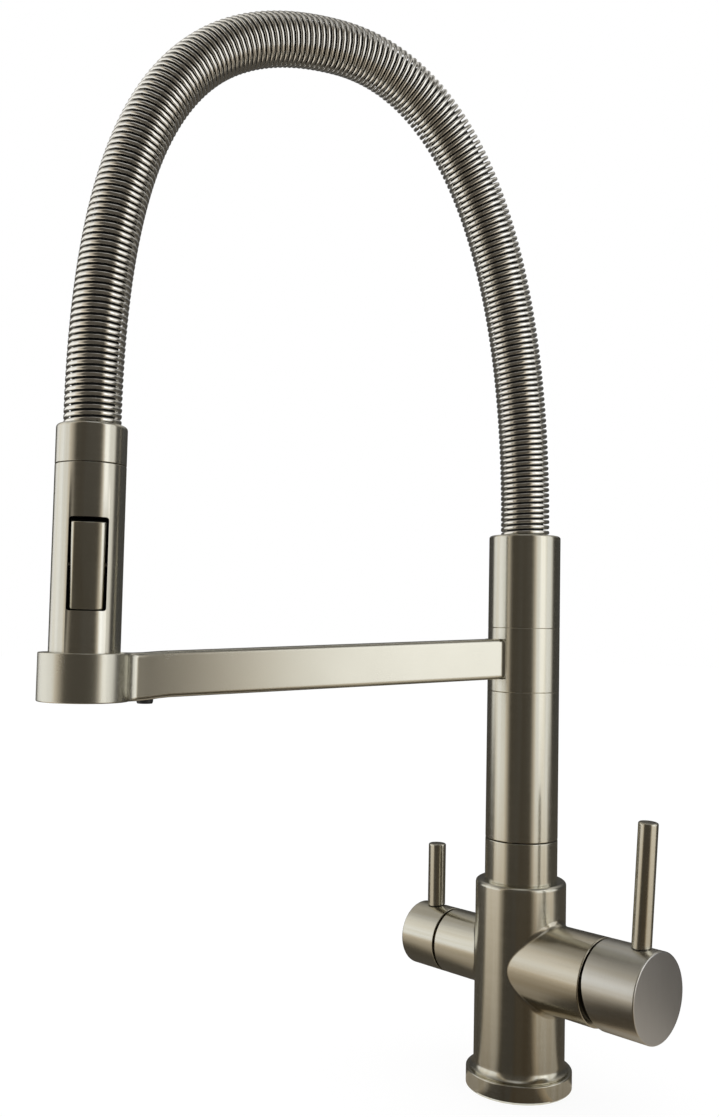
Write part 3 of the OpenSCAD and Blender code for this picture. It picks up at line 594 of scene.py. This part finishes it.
def saddle_branch(name, place, r, end, bore, bore_end):
    """A branch on the body with a rolled fillet round its root and an open bore at its end.

    Its first ring is sunk into the body, so that the root is closed out of sight."""
    sunk_across, sunk_along = 0.9, 0.8
    outer, wide = body_r + saddle_r, r + saddle_r
    edge = rounded([
        (r, end - branch_lip, 0), (r, end, branch_edge_r), (bore, end, soft_r), (bore, bore_end, 0)],
        RIM_CORNER_STEPS, closed=False)
    rings = []
    angles = turns_round(FINE_ROUND_STEPS)
    for step in range(-1, FILLET_STEPS + 1):
        ring = []
        for a in angles:
            y, z = wide * math.sin(a), wide * math.cos(a)
            centre = Vector((z, y, math.sqrt(outer ** 2 - y * y)))
            on_body = Vector((z, y * body_r / outer, centre.z * body_r / outer))
            on_branch = Vector((z * r / wide, y * r / wide, centre.z))
            if step < 0:
                ring.append(Vector((
                    on_body.x * sunk_across, on_body.y * sunk_across, on_body.z * sunk_along)))
                continue
            one, two = (on_body - centre).normalized(), (on_branch - centre).normalized()
            ring.append(centre + saddle_r * one.slerp(two, step / FILLET_STEPS))
        rings.append([place @ p for p in ring])
    for radius, height in supported(edge, closed=False)[1:]:
        rings.append([place @ Vector((radius * math.cos(a), radius * math.sin(a), height)) for a in angles])
    return rings_piece(name, rings)


def valve_body():
    low, top = heights("valve_body")
    flare_h = math.sqrt(foot_arc_r ** 2 - (foot_arc_r - foot_flare) ** 2)
    foot = body_r + foot_flare
    start = math.degrees(math.atan2(-flare_h, foot_flare - foot_arc_r))
    flare = arc((body_r + foot_arc_r, low + foot_rim + flare_h), foot_arc_r, start, -180, FILLET_STEPS)
    shoulder = rounded(
        [(body_r, top - shoulder_h, 0), (body_r, top, body_edge_r), (0, top, 0)], FILLET_STEPS, closed=False)
    section = [(0, low), (foot - fine_r, low), (foot, low + fine_r)] + flare + shoulder[1:]
    core = lathe("body_core", section, closed=False)
    mixer = saddle_branch(
        "body_mixer", ALONG_X, mixer_r, mixer_branch_x, mixer_r - mixer_branch_wall, mixer_bore_end)
    filter_side = saddle_branch(
        "body_filter", ALONG_MINUS_X, filter_r, -filter_branch_x, filter_r - filter_branch_wall,
        filter_bore_end)
    body = join("valve_body_turned", [core, mixer, filter_side])
    dress(body, [nickel_upright, nickel_branch_shaded, nickel_across], "base", "valve_body")


def standing_tubes():
    low, high = heights("neck_collar")
    neck = tube_section(tube_r, tube_r - neck_wall, low, high, hair_r, soft_r)
    dress(lathe("neck_collar_turned", neck), nickel_upright, "base", "neck_collar")
    low, high = heights("riser_tube")
    riser = tube_section(tube_r, tube_bore_r, low, high, joint_break, joint_break)
    dress(lathe("riser_turned", riser), nickel_upright, "spout", "riser_tube")
    low, high = heights("upper_tube")
    inside = high - upper_top_t
    upper = rounded([
        (tube_bore_r, low, hair_r), (tube_r, low, joint_break), (tube_r, high, upper_edge_r),
        (spring_hole_r, high, soft_r), (spring_hole_r, inside, 0), (tube_bore_r, inside, 0)])
    dress(lathe("upper_tube_turned", upper), nickel_upright, "spout", "upper_tube")


# Handles

def lever_piece(name, place, foot, tip, seat, cap_r, lean=0.0):
    """A round lever with a groove where it meets the cap, whose surface is at the seat on its axis.

    The groove takes the second finish, a near-black painted shade for the shadow line at the lever's foot."""
    def on_cap(r, a, z):
        """Bends the foot to the cap's round, so that the groove follows it."""
        drop = cap_r - math.sqrt(cap_r ** 2 - (r * math.sin(a)) ** 2)
        share = (seat + lever_foot_h - z) / (lever_foot_h - lever_groove_h)
        return z + (r * math.cos(a) * math.tan(lean) - drop) * max(0.0, min(1.0, share))

    groove = seat + lever_groove_h
    section = rounded([
        (0, foot, 0), (lever_neck_r, foot, 0), (lever_neck_r, groove, 0), (lever_r, groove, lever_groove_r),
        (lever_r, tip, lever_tip_r), (0, tip, 0)], closed=False)
    lever = lathe(name, section, place, closed=False, steps=LEVER_ROUND_STEPS, warp=on_cap)
    to_lever = place.inverted()
    # Neck faces under the groove take the near-black finish: painted shade for the shadow line at the foot.
    for face in lever.data.polygons:
        at = to_lever @ face.center
        if at.z < groove and math.hypot(*at.xy) < lever_neck_r + lever_neck_margin:
            face.material_index = 1
    return lever


def mark_end(cap, end):
    """Gives a cap's flat end the second finish."""
    facing = 0.9
    for face in cap.data.polygons:
        if abs(face.normal.x) > facing and abs(face.center.x - end) < cap_end_margin:
            face.material_index = 1


def cap_section(r, floor, floor_r, rear, end):
    """Half of a cap that is open at its rear, from its floor inside to its flat end outside."""
    inner = r - cap_wall
    return rounded([
        (0, floor, 0), (inner, floor, floor_r), (inner, rear, soft_r), (r, rear, fine_r), (r, end, rim_r),
        (0, end, 0)], RIM_CORNER_STEPS, closed=False)


def mixer_handle():
    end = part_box("mixer_cap")[1].x
    gap_low = (mixer_gap + mixer_r * math.sin(mixer_tilt)) / math.cos(mixer_tilt)
    slope = (gap_low - mixer_gap) / (mixer_r + mixer_cut_h)
    rear = mixer_branch_x + mixer_gap
    floor = mixer_branch_x + mixer_cap_floor

    def oblique(r, a, x):
        """Leans the cap's rim so that its lower side stands back from the branch."""
        below = mixer_cut_h + r * math.cos(a)
        lean = slope * (below + math.hypot(below, mixer_cut_ease)) / 2
        return x + lean * max(0.0, min(1.0, (floor - x) / (floor - rear)))

    section = cap_section(mixer_r, floor, mixer_floor_r, rear, end)
    cap = lathe("mixer_cap_turned", section, ALONG_X, closed=False, steps=FINE_ROUND_STEPS, warp=oblique)
    mark_end(cap, end)
    dress(cap, [nickel_cap, nickel_face], "mixer_handle", "mixer_cap")
    place = (Matrix.Translation((mixer_lever_x, 0, handle_z + mixer_r))
             @ Matrix.Rotation(mixer_lever_lean, 4, "Y") @ Matrix.Translation((0, 0, -mixer_r)))
    lever = lever_piece(
        "mixer_lever_turned", place, mixer_lever_foot, mixer_lever_h, mixer_r, mixer_r, mixer_lever_lean)
    dress(lever, [nickel_upright, nickel_painted_shade], "mixer_handle", "mixer_lever")


def cartridge_dome():
    """The part of a ball that shows between the mixer's branch and its cap."""
    low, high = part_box("cartridge_dome")
    r = (high.z - low.z) / 2
    start, last = [math.degrees(math.asin((x - mixer_branch_x) / r)) for x in (low.x, high.x)]
    centre = (0, mixer_branch_x)
    outside = arc(centre, r, start, last, DOME_STEPS)
    inside = arc(centre, r - dome_wall, last, start, DOME_STEPS)
    dome = lathe("cartridge_dome_turned", outside + inside, ALONG_X)
    # The dome's near-black finish is painted shade for the gap between the branch and the cap.
    dress(dome, nickel_painted_shade, "base", "cartridge_dome")


def filter_handle():
    low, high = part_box("filter_cap")
    rear, end = filter_gap_added - high.x, -low.x
    section = cap_section(filter_r, rear + filter_cap_floor, filter_floor_r, rear, end)
    cap = lathe("filter_cap_turned", section, ALONG_MINUS_X, closed=False)
    mark_end(cap, -end)
    dress(cap, [nickel_across, nickel_face], "filter_handle", "filter_cap")
    place = Matrix.Translation((middle("filter_lever").x, 0, 0))
    foot, tip = heights("filter_lever")
    lever = lever_piece("filter_lever_turned", place, foot, tip, handle_z + filter_r, filter_r)
    dress(lever, [nickel_upright, nickel_painted_shade], "filter_handle", "filter_lever")


# Arm with its collar and dock

def corner_fillet(r, half_w, fillet):
    """Centre of a fillet between a round of radius r and a bar along +X, and its angle from the round."""
    centre = (math.sqrt((r + fillet) ** 2 - (half_w + fillet) ** 2), half_w + fillet)
    return centre, math.atan2(centre[1], centre[0])


def arm_outline(dock_r):
    """Plan of bar and dock, from the collar round the dock and back, with the edge radius at each point."""
    root, root_angle = corner_fillet(tube_r, arm_half_w, arm_root_r)
    dock, dock_angle = corner_fillet(dock_r, arm_half_w, dock_fillet_r)
    root_start = 180 + math.degrees(root_angle)
    root_arc = [(p, arm_edge_r) for p in arc(root, arm_root_r, root_start, 270, FILLET_STEPS)]
    bar = [((x, arm_half_w), arm_edge_r) for x in np.linspace(root[0], reach - dock[0], BAR_POINTS)[1:-1]]
    dock_arc = arc(
        (reach - dock[0], dock[1]), dock_fillet_r, -90, -math.degrees(dock_angle), DOCK_FILLET_STEPS)
    side = root_arc + bar + [
        (p, arm_edge_r + (dock_edge_r - arm_edge_r) * k / DOCK_FILLET_STEPS)
        for k, p in enumerate(dock_arc)]
    start = 180 - math.degrees(dock_angle)
    ring = [(p, dock_edge_r) for p in arc((reach, 0), dock_r, start, -start, DOCK_RING_STEPS)[1:-1]]
    other = [((p[0], -p[1]), e) for p, e in reversed(side)]
    return side + ring + other


def arm_heights(x, dock_low, dock_high, mid):
    """Underside and top of the arm at a distance from the riser, easing into the level dock."""
    centre = mid - x * math.tan(arm_fall)
    ease_start, ease_end = reach - arm_ease_start, reach - arm_ease_end
    share = max(0.0, min(1.0, (x - ease_start) / (ease_end - ease_start)))
    share = share * share * (3 - 2 * share)
    low, high = centre - arm_half_h, centre + arm_half_h
    return low + (dock_low - low) * share, high + (dock_high - high) * share


def support_arm():
    dock_r = half_width("dock_liner") + dock_play + dock_wall
    bore = dock_r - dock_wall
    collar_low, collar_high = heights("riser_tube")[1], heights("upper_tube")[0]
    dock_mid = collar_low + arm_mid - reach * math.tan(arm_fall)
    dock_low, dock_high = dock_mid - dock_below, dock_mid + dock_above
    outline = arm_outline(dock_r)
    plan = np.array([p for p, edge in outline])
    ahead = np.roll(plan, -1, 0) - np.roll(plan, 1, 0)
    inward = np.stack([ahead[:, 1], -ahead[:, 0]], 1)
    inward /= np.linalg.norm(inward, axis=1)[:, None]
    verts, faces, rings = [], [], []
    bends = range(0, 91, BEND_DEGREES)
    levels = ([("low", b) for b in reversed(bends)] + [("low", None), ("high", None)]
              + [("high", b) for b in bends])
    for end, bend in levels:
        ring = []
        for (p, edge), n in zip(outline, inward):
            low, high = arm_heights(p[0], dock_low, dock_high, collar_low + arm_mid)
            back, rise = 0.0, -arm_side_margin
            if bend is not None:
                back = edge * (1 - math.cos(math.radians(bend)))
                rise = edge * math.sin(math.radians(bend))
            z = low + edge - rise if end == "low" else high - edge + rise
            ring.append(len(verts))
            verts.append(SPOUT @ Vector((p[0] + n[0] * back, p[1] + n[1] * back, z)))
        rings.append(ring)
    bore_rings = []
    for z, r in ((dock_low, bore + fine_r), (dock_low + soft_r, bore),
                 (dock_high - soft_r, bore), (dock_high, bore + fine_r)):
        ring = []
        for a in turns_round(DOCK_ROUND_STEPS):
            ring.append(len(verts))
            verts.append(SPOUT @ Vector((reach + r * math.cos(a), r * math.sin(a), z)))
        bore_rings.append(ring)
    for loops in (rings, bore_rings):
        for one, two in zip(loops, loops[1:]):
            faces += strip(one, two)
    bar = add_piece("arm_bar", verts, faces)
    close_flat(bar, [(rings[0], bore_rings[0]), (rings[-1], bore_rings[-1])])
    collar = lathe("arm_collar", tube_section(
        tube_r, tube_bore_r, collar_low, collar_high, joint_break, joint_break))
    dress(join("support_arm_shaped", [bar, collar]), [nickel_arm, nickel_upright], "spout", "support_arm")


def close_flat(piece, loops):
    """Fills the flat ring between an outer and an inner loop of vertices."""
    tidy = bmesh.new()
    tidy.from_mesh(piece.data)
    tidy.verts.ensure_lookup_table()
    for pair in loops:
        edges = []
        for loop in pair:
            for i, j in zip(loop, loop[1:] + loop[:1]):
                edge = tidy.edges.get((tidy.verts[i], tidy.verts[j]))
                if edge:
                    edges.append(edge)
        bmesh.ops.triangle_fill(tidy, edges=edges, use_beauty=True)
    bmesh.ops.recalc_face_normals(tidy, faces=tidy.faces)
    tidy.to_mesh(piece.data)
    tidy.free()
    shade(piece)


# Spray head

def rounded_block(name, place, width, height, depth, radius):
    """A block along the place's X with rounded corners in its Y-Z face."""
    w, h = width / 2, height / 2
    outline = rounded([(-w, -h, radius), (w, -h, radius), (w, h, radius), (-w, h, radius)])
    rings = [[place @ Vector((x, u, v)) for u, v in outline] for x in depth]
    return rings_piece(name, rings)


def button_section(inset):
    """Plan of the key, a share of the head's round with rolled sides, drawn in by the inset."""
    r, half_w, roll = head_r - inset, button_w / 2 - inset, button_side_r - inset
    x, y = math.sqrt((r - roll) ** 2 - (half_w - roll) ** 2), half_w - roll
    turn = math.degrees(math.atan2(y, x))
    near = arc((x, -y), roll, -90, -turn, FILLET_STEPS)
    front = arc((0, 0), r, -turn, turn, KEY_FACE_STEPS)[1:-1]
    far = arc((x, y), roll, turn, 90, FILLET_STEPS)
    return [(button_web, -half_w)] + near + front + far + [(button_web, half_w)]


def button_key(name, place):
    """The rocking key, with its ends eased by a small round."""
    ends = []
    for bend in np.radians(np.linspace(0, 90, KEY_END_RINGS)):
        inset = button_end_r * (1 - math.sin(bend))
        ends.append((inset, button_h / 2 - button_end_r * (1 - math.cos(bend))))
    levels = [(inset, -z) for inset, z in ends] + [(inset, z) for inset, z in reversed(ends)]
    rings = [[place @ Vector((x, y, z)) for x, y in button_section(inset)] for inset, z in levels]
    return rings_piece(name, rings)


def spray_head():
    low, high = heights("head_shell")
    inner, under_top = head_r - head_wall, high - head_top_t
    section = rounded([
        (inner, low, soft_r), (head_r, low, rim_r), (head_r, high, head_top_edge_r),
        (head_hole_r, high, fine_r), (head_hole_r, under_top, 0), (inner, under_top, 0)])
    shell = lathe("head_shell_turned", section, HEAD, steps=SHELL_ROUND_STEPS)
    window = BUTTON @ Matrix.Translation((0, 0, low + window_z + window_h / 2))
    cut(shell, rounded_block("window_cutter", window, window_w, window_h, window_cut, window_corner_r))
    soften_edges(shell, window_edge)
    dress(shell, nickel_head, "spray_head", "head_shell")
    pivot = (window @ Matrix.Translation((head_r - button_pivot_depth, 0, 0))
             @ Matrix.Rotation(button_tilt, 4, "Y"))
    to_axis = pivot @ Matrix.Translation((button_pivot_depth - head_r, 0, 0))
    dress(button_key("mode_button_face", to_axis), nickel_upright, "mode_button", "mode_button")
    low, high = heights("head_collar")
    seat = high - collar_seat
    collar = rounded([
        (collar_hole_r, low, hair_r), (head_r, low, soft_r), (head_r, high, collar_edge_r),
        (spring_hole_r, high, soft_r), (spring_hole_r, seat, 0), (collar_hole_r, seat, 0)])
    dress(lathe("head_collar_turned", collar, HEAD), nickel_head, "hose_end", "head_collar")


def filter_outlet():
    """A small black nozzle with a stepped lip."""
    low, high = heights("filter_outlet")
    r = half_width("filter_outlet")
    bore, bore_end = r - outlet_wall, low + outlet_bore_h
    place = Matrix.Translation((*middle("filter_outlet").xy, 0))
    section = rounded([
        (bore, bore_end, 0), (bore, low, fine_r), (r - outlet_lip_w, low, soft_r),
        (r, low + outlet_lip_h, fine_r), (r, high, hair_r), (0, high, 0), (0, bore_end, 0)],
        NOZZLE_CORNER_STEPS, closed=False)
    nozzle = lathe("filter_outlet_turned", section, place, closed=False, steps=NOZZLE_ROUND_STEPS)
    dress(nozzle, black_plastic, "spout", "filter_outlet")


# Hose and spring on the arch

def bezier(p, t):
    """Points of a cubic curve with four control points."""
    return (1 - t) ** 3 * p[0] + 3 * (1 - t) ** 2 * t * p[1] + 3 * (1 - t) * t * t * p[2] + t ** 3 * p[3]


def arch_line():
    """Points along the arch's centre line in the arm's plane, with the distance of each from its start."""
    start = np.array((0.0, heights("upper_tube")[1]))
    end = np.array((reach, heights("head_collar")[1] + arch_end_rise))
    crown = np.array((reach / 2, start[1] + arch_rise))
    rise = [start, start + np.array((0, riser_pull)), crown - np.array((crown_pull_riser, 0)), crown]
    fall = [crown, crown + np.array((crown_pull_head, 0)), end + np.array((0, head_pull)), end]
    t = np.linspace(0, 1, ARCH_POINTS)[:, None]
    first = np.array([(0.0, heights("hose_nipple")[1] + hose_start_gap)])
    last = np.array([(reach, heights("head_collar")[1] - hose_end_depth)])
    points = np.vstack([first, bezier(rise, t), bezier(fall, t)[1:], last])
    lengths = np.concatenate([[0], np.cumsum(np.linalg.norm(np.diff(points, axis=0), axis=1))])
    return points, lengths


def in_space(flat):
    """Points of the arm's plane as points in space, before the spout's turn."""
    return np.stack([flat[:, 0], np.zeros(len(flat)), flat[:, 1]], 1)


def arch_frames(places):
    """Centres at distances along the arch, with the directions outward and sideways at each."""
    points, lengths = arch_line()

    def at(distances):
        return np.stack([np.interp(distances, lengths, points[:, k]) for k in (0, 1)], 1)

    forward = at(places + arch_step) - at(places - arch_step)
    forward /= np.linalg.norm(forward, axis=1)[:, None]
    outward = np.stack([-forward[:, 1], forward[:, 0]], 1)
    sideways = np.tile((0.0, -1.0, 0.0), (len(places), 1))
    return in_space(at(places)), in_space(outward), sideways


def swept(name, centres, sides, one, two, radius, squareness=2.0):
    """A tube through centres, with two unit directions across it at each.

    It is round at a squareness of 2, and flatter on its sides above that."""
    turn = 2 * np.pi * np.arange(sides) / sides
    u, v = [np.sign(c) * np.abs(c) ** (2 / squareness) for c in (np.cos(turn), np.sin(turn))]
    offsets = radius * (u[None, :, None] * one[:, None] + v[None, :, None] * two[:, None])
    rings = centres[:, None] + offsets
    spin = np.array(SPOUT.to_3x3())
    return rings_piece(name, (rings @ spin.T).tolist(), WIRE_SHARP_DEGREES)


def on_the_arch(piece, material, node):
    """Sets the finish of a piece that bends between the spout and the hose end."""
    piece.data.materials.append(material)
    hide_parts(node)
    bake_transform(piece)


def hose_and_spring():
    total = arch_line()[1][-1]
    centre, outward, sideways = arch_frames(np.linspace(0, total, HOSE_RINGS))
    hose = swept("spray_hose_tube", centre, HOSE_SIDES, outward, sideways, hose_r)
    on_the_arch(hose, black_rubber, "spray_hose")
    steps = round((total - 2 * wire_r) / spring_pitch) * WIRE_STEPS_PER_TURN
    centre, outward, sideways = arch_frames(np.linspace(wire_r, total - wire_r, steps + 1))
    a = 2 * np.pi * np.arange(steps + 1)[:, None] / WIRE_STEPS_PER_TURN
    radial = np.cos(a) * outward + np.sin(a) * sideways
    coil = centre + (spring_r - wire_r) * radial
    across = np.cross(np.gradient(coil, axis=0), radial)
    across /= np.linalg.norm(across, axis=1)[:, None]
    wire = swept("hose_spring_wire", coil, WIRE_SIDES, radial, across, wire_r, wire_squareness)
    on_the_arch(wire, nickel_wire, "hose_spring")


# Studio

CAMERA_PLACE = Vector((349.9, -444.9, 219.15)) * MM
CAMERA_YAW = math.radians(-46.51)
CAMERA_PITCH = math.radians(3.409)
CAMERA_ROLL = math.radians(1.18)
CAMERA_FOCAL_PIXELS = 1130.33
PHOTO_HEIGHT = 1117
SENSOR_HEIGHT = 36.0
WHITE = (1, 1, 1, 1)
FULL_LIGHT = 1.0
SOFT_LIGHT = 0.75
FLOOR_HALF = 6.0
FLOOR_COLOUR = (0.92, 0.92, 0.92, 1)
FLOOR_GLOW = 1.08
FLOOR_GLOW_SHARE = 0.82
SCREEN_STEPS = 72
LAMP_AIM = Vector((0, -0.08, 0.25))


def add_camera():
    data = bpy.data.cameras.new("camera")
    data.sensor_fit = "VERTICAL"
    data.sensor_height = SENSOR_HEIGHT
    data.lens = CAMERA_FOCAL_PIXELS * SENSOR_HEIGHT / PHOTO_HEIGHT
    camera = bpy.data.objects.new("camera", data)
    bpy.context.scene.collection.objects.link(camera)
    level = math.cos(CAMERA_PITCH)
    forward = Vector((math.sin(CAMERA_YAW) * level, math.cos(CAMERA_YAW) * level, math.sin(CAMERA_PITCH)))
    right = Vector((math.cos(CAMERA_YAW), -math.sin(CAMERA_YAW), 0))
    up = right.cross(forward)
    c, s = math.cos(CAMERA_ROLL), math.sin(CAMERA_ROLL)
    right, up = c * right + s * up, c * up - s * right
    turn = Matrix((right, up, -forward)).transposed()
    camera.matrix_world = Matrix.Translation(CAMERA_PLACE) @ turn.to_4x4()
    bpy.context.scene.camera = camera


def seen_rays(nodes, links):
    """1 for rays that look at the surroundings: from the camera, a reflection or a refraction."""
    path = nodes.new("ShaderNodeLightPath")
    value = path.outputs["Is Camera Ray"]
    for name in ("Is Glossy Ray", "Is Transmission Ray"):
        most = nodes.new("ShaderNodeMath")
        most.operation = "MAXIMUM"
        links.new(value, most.inputs[0])
        links.new(path.outputs[name], most.inputs[1])
        value = most.outputs["Value"]
    return value


def add_world():
    world = bpy.data.worlds.new("studio")
    bpy.context.scene.world = world
    world.use_nodes = True
    nodes, links = world.node_tree.nodes, world.node_tree.links
    nodes.clear()
    mix, out = nodes.new("ShaderNodeMixShader"), nodes.new("ShaderNodeOutputWorld")
    links.new(seen_rays(nodes, links), mix.inputs["Fac"])
    for socket, strength in ((1, SOFT_LIGHT), (2, FULL_LIGHT)):
        sky = nodes.new("ShaderNodeBackground")
        sky.inputs["Color"].default_value = WHITE
        sky.inputs["Strength"].default_value = strength
        links.new(sky.outputs["Background"], mix.inputs[socket])
    links.new(mix.outputs["Shader"], out.inputs["Surface"])


def stage_material(name):
    """An empty material, with its nodes, links and output."""
    material = bpy.data.materials.new(name)
    material.use_nodes = True
    nodes = material.node_tree.nodes
    nodes.clear()
    return material, nodes, material.node_tree.links, nodes.new("ShaderNodeOutputMaterial")


def add_floor():
    """A pale floor that reads white but keeps the object's shadow."""
    material, nodes, links, out = stage_material("floor")
    matt, glow = nodes.new("ShaderNodeBsdfDiffuse"), nodes.new("ShaderNodeEmission")
    matt.inputs["Color"].default_value = FLOOR_COLOUR
    glow.inputs["Color"].default_value = WHITE
    glow.inputs["Strength"].default_value = FLOOR_GLOW
    share, mix = nodes.new("ShaderNodeMath"), nodes.new("ShaderNodeMixShader")
    share.operation = "MULTIPLY"
    share.inputs[1].default_value = FLOOR_GLOW_SHARE
    links.new(seen_rays(nodes, links), share.inputs[0])
    links.new(share.outputs["Value"], mix.inputs["Fac"])
    links.new(matt.outputs["BSDF"], mix.inputs[1])
    links.new(glow.outputs["Emission"], mix.inputs[2])
    links.new(mix.outputs["Shader"], out.inputs["Surface"])
    corners = [(x * FLOOR_HALF, y * FLOOR_HALF, 0) for x, y in ((-1, -1), (1, -1), (1, 1), (-1, 1))]
    floor = add_piece("floor", corners, [[0, 1, 2, 3]])
    floor.data.materials.append(material)


def add_screen(name, start, end, section, near, far, tint, power=1.0, edges=(0, 0), beyond=0.0):
    """A screen bent round the object that only its reflections show, as in a product studio.

    Its brightness goes from near to far with a power of the distance from the object's foot, and eases to
    the brightness beyond over the given degrees at its two sides."""
    verts, faces = [], []
    for k in range(SCREEN_STEPS + 1):
        a = math.radians(start + (end - start) * k / SCREEN_STEPS)
        verts += [(r * math.cos(a), r * math.sin(a), z) for r, z in section]
    for k in range(0, 2 * SCREEN_STEPS, 2):
        faces.append([k, k + 2, k + 3, k + 1])
    screen = add_piece(name, verts, faces)
    rise = []
    for v in screen.data.vertices:
        from_start = (math.degrees(math.atan2(v.co.y, v.co.x)) - start + 1) % 360 - 1
        sides = ((from_start, edges[0]), (end - start - from_start, edges[1]))
        rise.append(max([0.0] + [1 - distance / edge for distance, edge in sides if edge]))
    screen.data.attributes.new("rise", "FLOAT", "POINT").data.foreach_set("value", rise)
    material, nodes, links, out = stage_material(name)
    place, length = nodes.new("ShaderNodeTexCoord"), nodes.new("ShaderNodeVectorMath")
    length.operation = "LENGTH"
    links.new(place.outputs["Object"], length.inputs[0])
    distances = [math.hypot(r, z) for r, z in section]
    share = remapped(nodes, links, length.outputs["Value"], start=(min(distances), max(distances)))
    curve = nodes.new("ShaderNodeMath")
    curve.operation = "POWER"
    curve.inputs[1].default_value = power
    links.new(share, curve.inputs[0])
    side, ease = nodes.new("ShaderNodeAttribute"), nodes.new("ShaderNodeMix")
    side.attribute_name = "rise"
    ease.inputs["B"].default_value = beyond
    links.new(remapped(nodes, links, curve.outputs["Value"], end=(near, far)), ease.inputs["A"])
    links.new(side.outputs["Fac"], ease.inputs["Factor"])
    glow = nodes.new("ShaderNodeEmission")
    glow.inputs["Color"].default_value = (*tint, 1)
    links.new(ease.outputs["Result"], glow.inputs["Strength"])
    links.new(glow.outputs["Emission"], out.inputs["Surface"])
    screen.data.materials.append(material)
    screen.visible_camera = False
    screen.visible_diffuse = False
    screen.visible_shadow = False
    screen.visible_transmission = False


def add_softbox(name, azimuth, elevation, distance, width, height, power):
    """A soft lamp aimed at the middle of the object."""
    data = bpy.data.lights.new(name, "AREA")
    data.shape = "RECTANGLE"
    data.size, data.size_y = width, height
    data.energy = power
    lamp = bpy.data.objects.new(name, data)
    bpy.context.scene.collection.objects.link(lamp)
    a, e = math.radians(azimuth), math.radians(elevation)
    way = Vector((math.cos(a) * math.cos(e), math.sin(a) * math.cos(e), math.sin(e)))
    lamp.location = LAMP_AIM + way * distance
    lamp.rotation_euler = way.to_track_quat("Z", "Y").to_euler()


def studio():
    bpy.context.scene.view_settings.view_transform = "Standard"
    add_camera()
    add_world()
    add_floor()
    brown, grey, warm = (1.0, 0.80, 0.56), (1.0, 0.97, 0.92), (1.0, 0.89, 0.74)
    inner_r, front_r, side_r, back_r, hub_r = 0.02, 0.45, 0.7, 1.6, 0.001
    floor_z, side_floor_z, front_top, back_middle, back_top = 0.001, 0.0006, 1.0, 0.6, 1.9
    floor_front = [(inner_r, floor_z), (front_r, floor_z)]
    wall_front = [(front_r, floor_z), (front_r, front_top)]
    floor_back = [(inner_r, floor_z), (back_r, floor_z)]
    wall_low = [(back_r, floor_z), (back_r, back_middle)]
    wall_high = [(back_r, back_middle), (back_r, back_top)]
    floor_side = [(inner_r, side_floor_z), (side_r, side_floor_z)]
    over = [(hub_r, back_top), (back_r, back_top)]
    add_screen("floor_front_left", -106, -62, floor_front, 0.06, 0.07, warm, 1, (14, 0), 0.42)
    add_screen("wall_front_left", -106, -62, wall_front, 0.08, 0.09, warm, 1, (14, 0), 0.85)
    add_screen("floor_front_right", -62, -12, floor_front, 0.07, 0.08, brown, 1, (0, 14), 0.42)
    add_screen("wall_front_right", -62, -12, wall_front, 0.08, 0.11, warm, 1, (0, 14), 0.85)
    add_screen("floor_back", 36, 214, floor_back, 0.085, 0.07, warm, 1, (8, 8), 0.4)
    add_screen("wall_back", 46, 196, wall_low, 0.07, 0.07, grey, 1, (8, 8), 0.9)
    add_screen("wall_back_high", 46, 196, wall_high, 0.07, 0.75, grey, 1, (8, 8), 0.8)
    add_screen("wall_left_high", 196, 254, wall_high, 0.95, 0.5, grey)
    add_screen("screen_over", 0, 360, over, 0.10, 0.50, grey)
    add_screen("floor_right", -16, 38, floor_side, 0.28, 0.88, warm, 0.7)
    add_screen("floor_left", 212, 258, floor_side, 0.28, 0.88, warm, 0.7)
    add_softbox("softbox_left", -142, 12, 1.4, 0.7, 1.4, 0.3)
    add_softbox("softbox_right", 14, 12, 1.4, 0.5, 1.4, 1.0)
    add_softbox("softbox_top", -60, 75, 1.5, 0.9, 0.9, 1)


studio()
finish_nodes()
base_flange()
valve_body()
standing_tubes()
mixer_handle()
cartridge_dome()
filter_handle()
support_arm()
spray_head()
filter_outlet()
hose_and_spring()
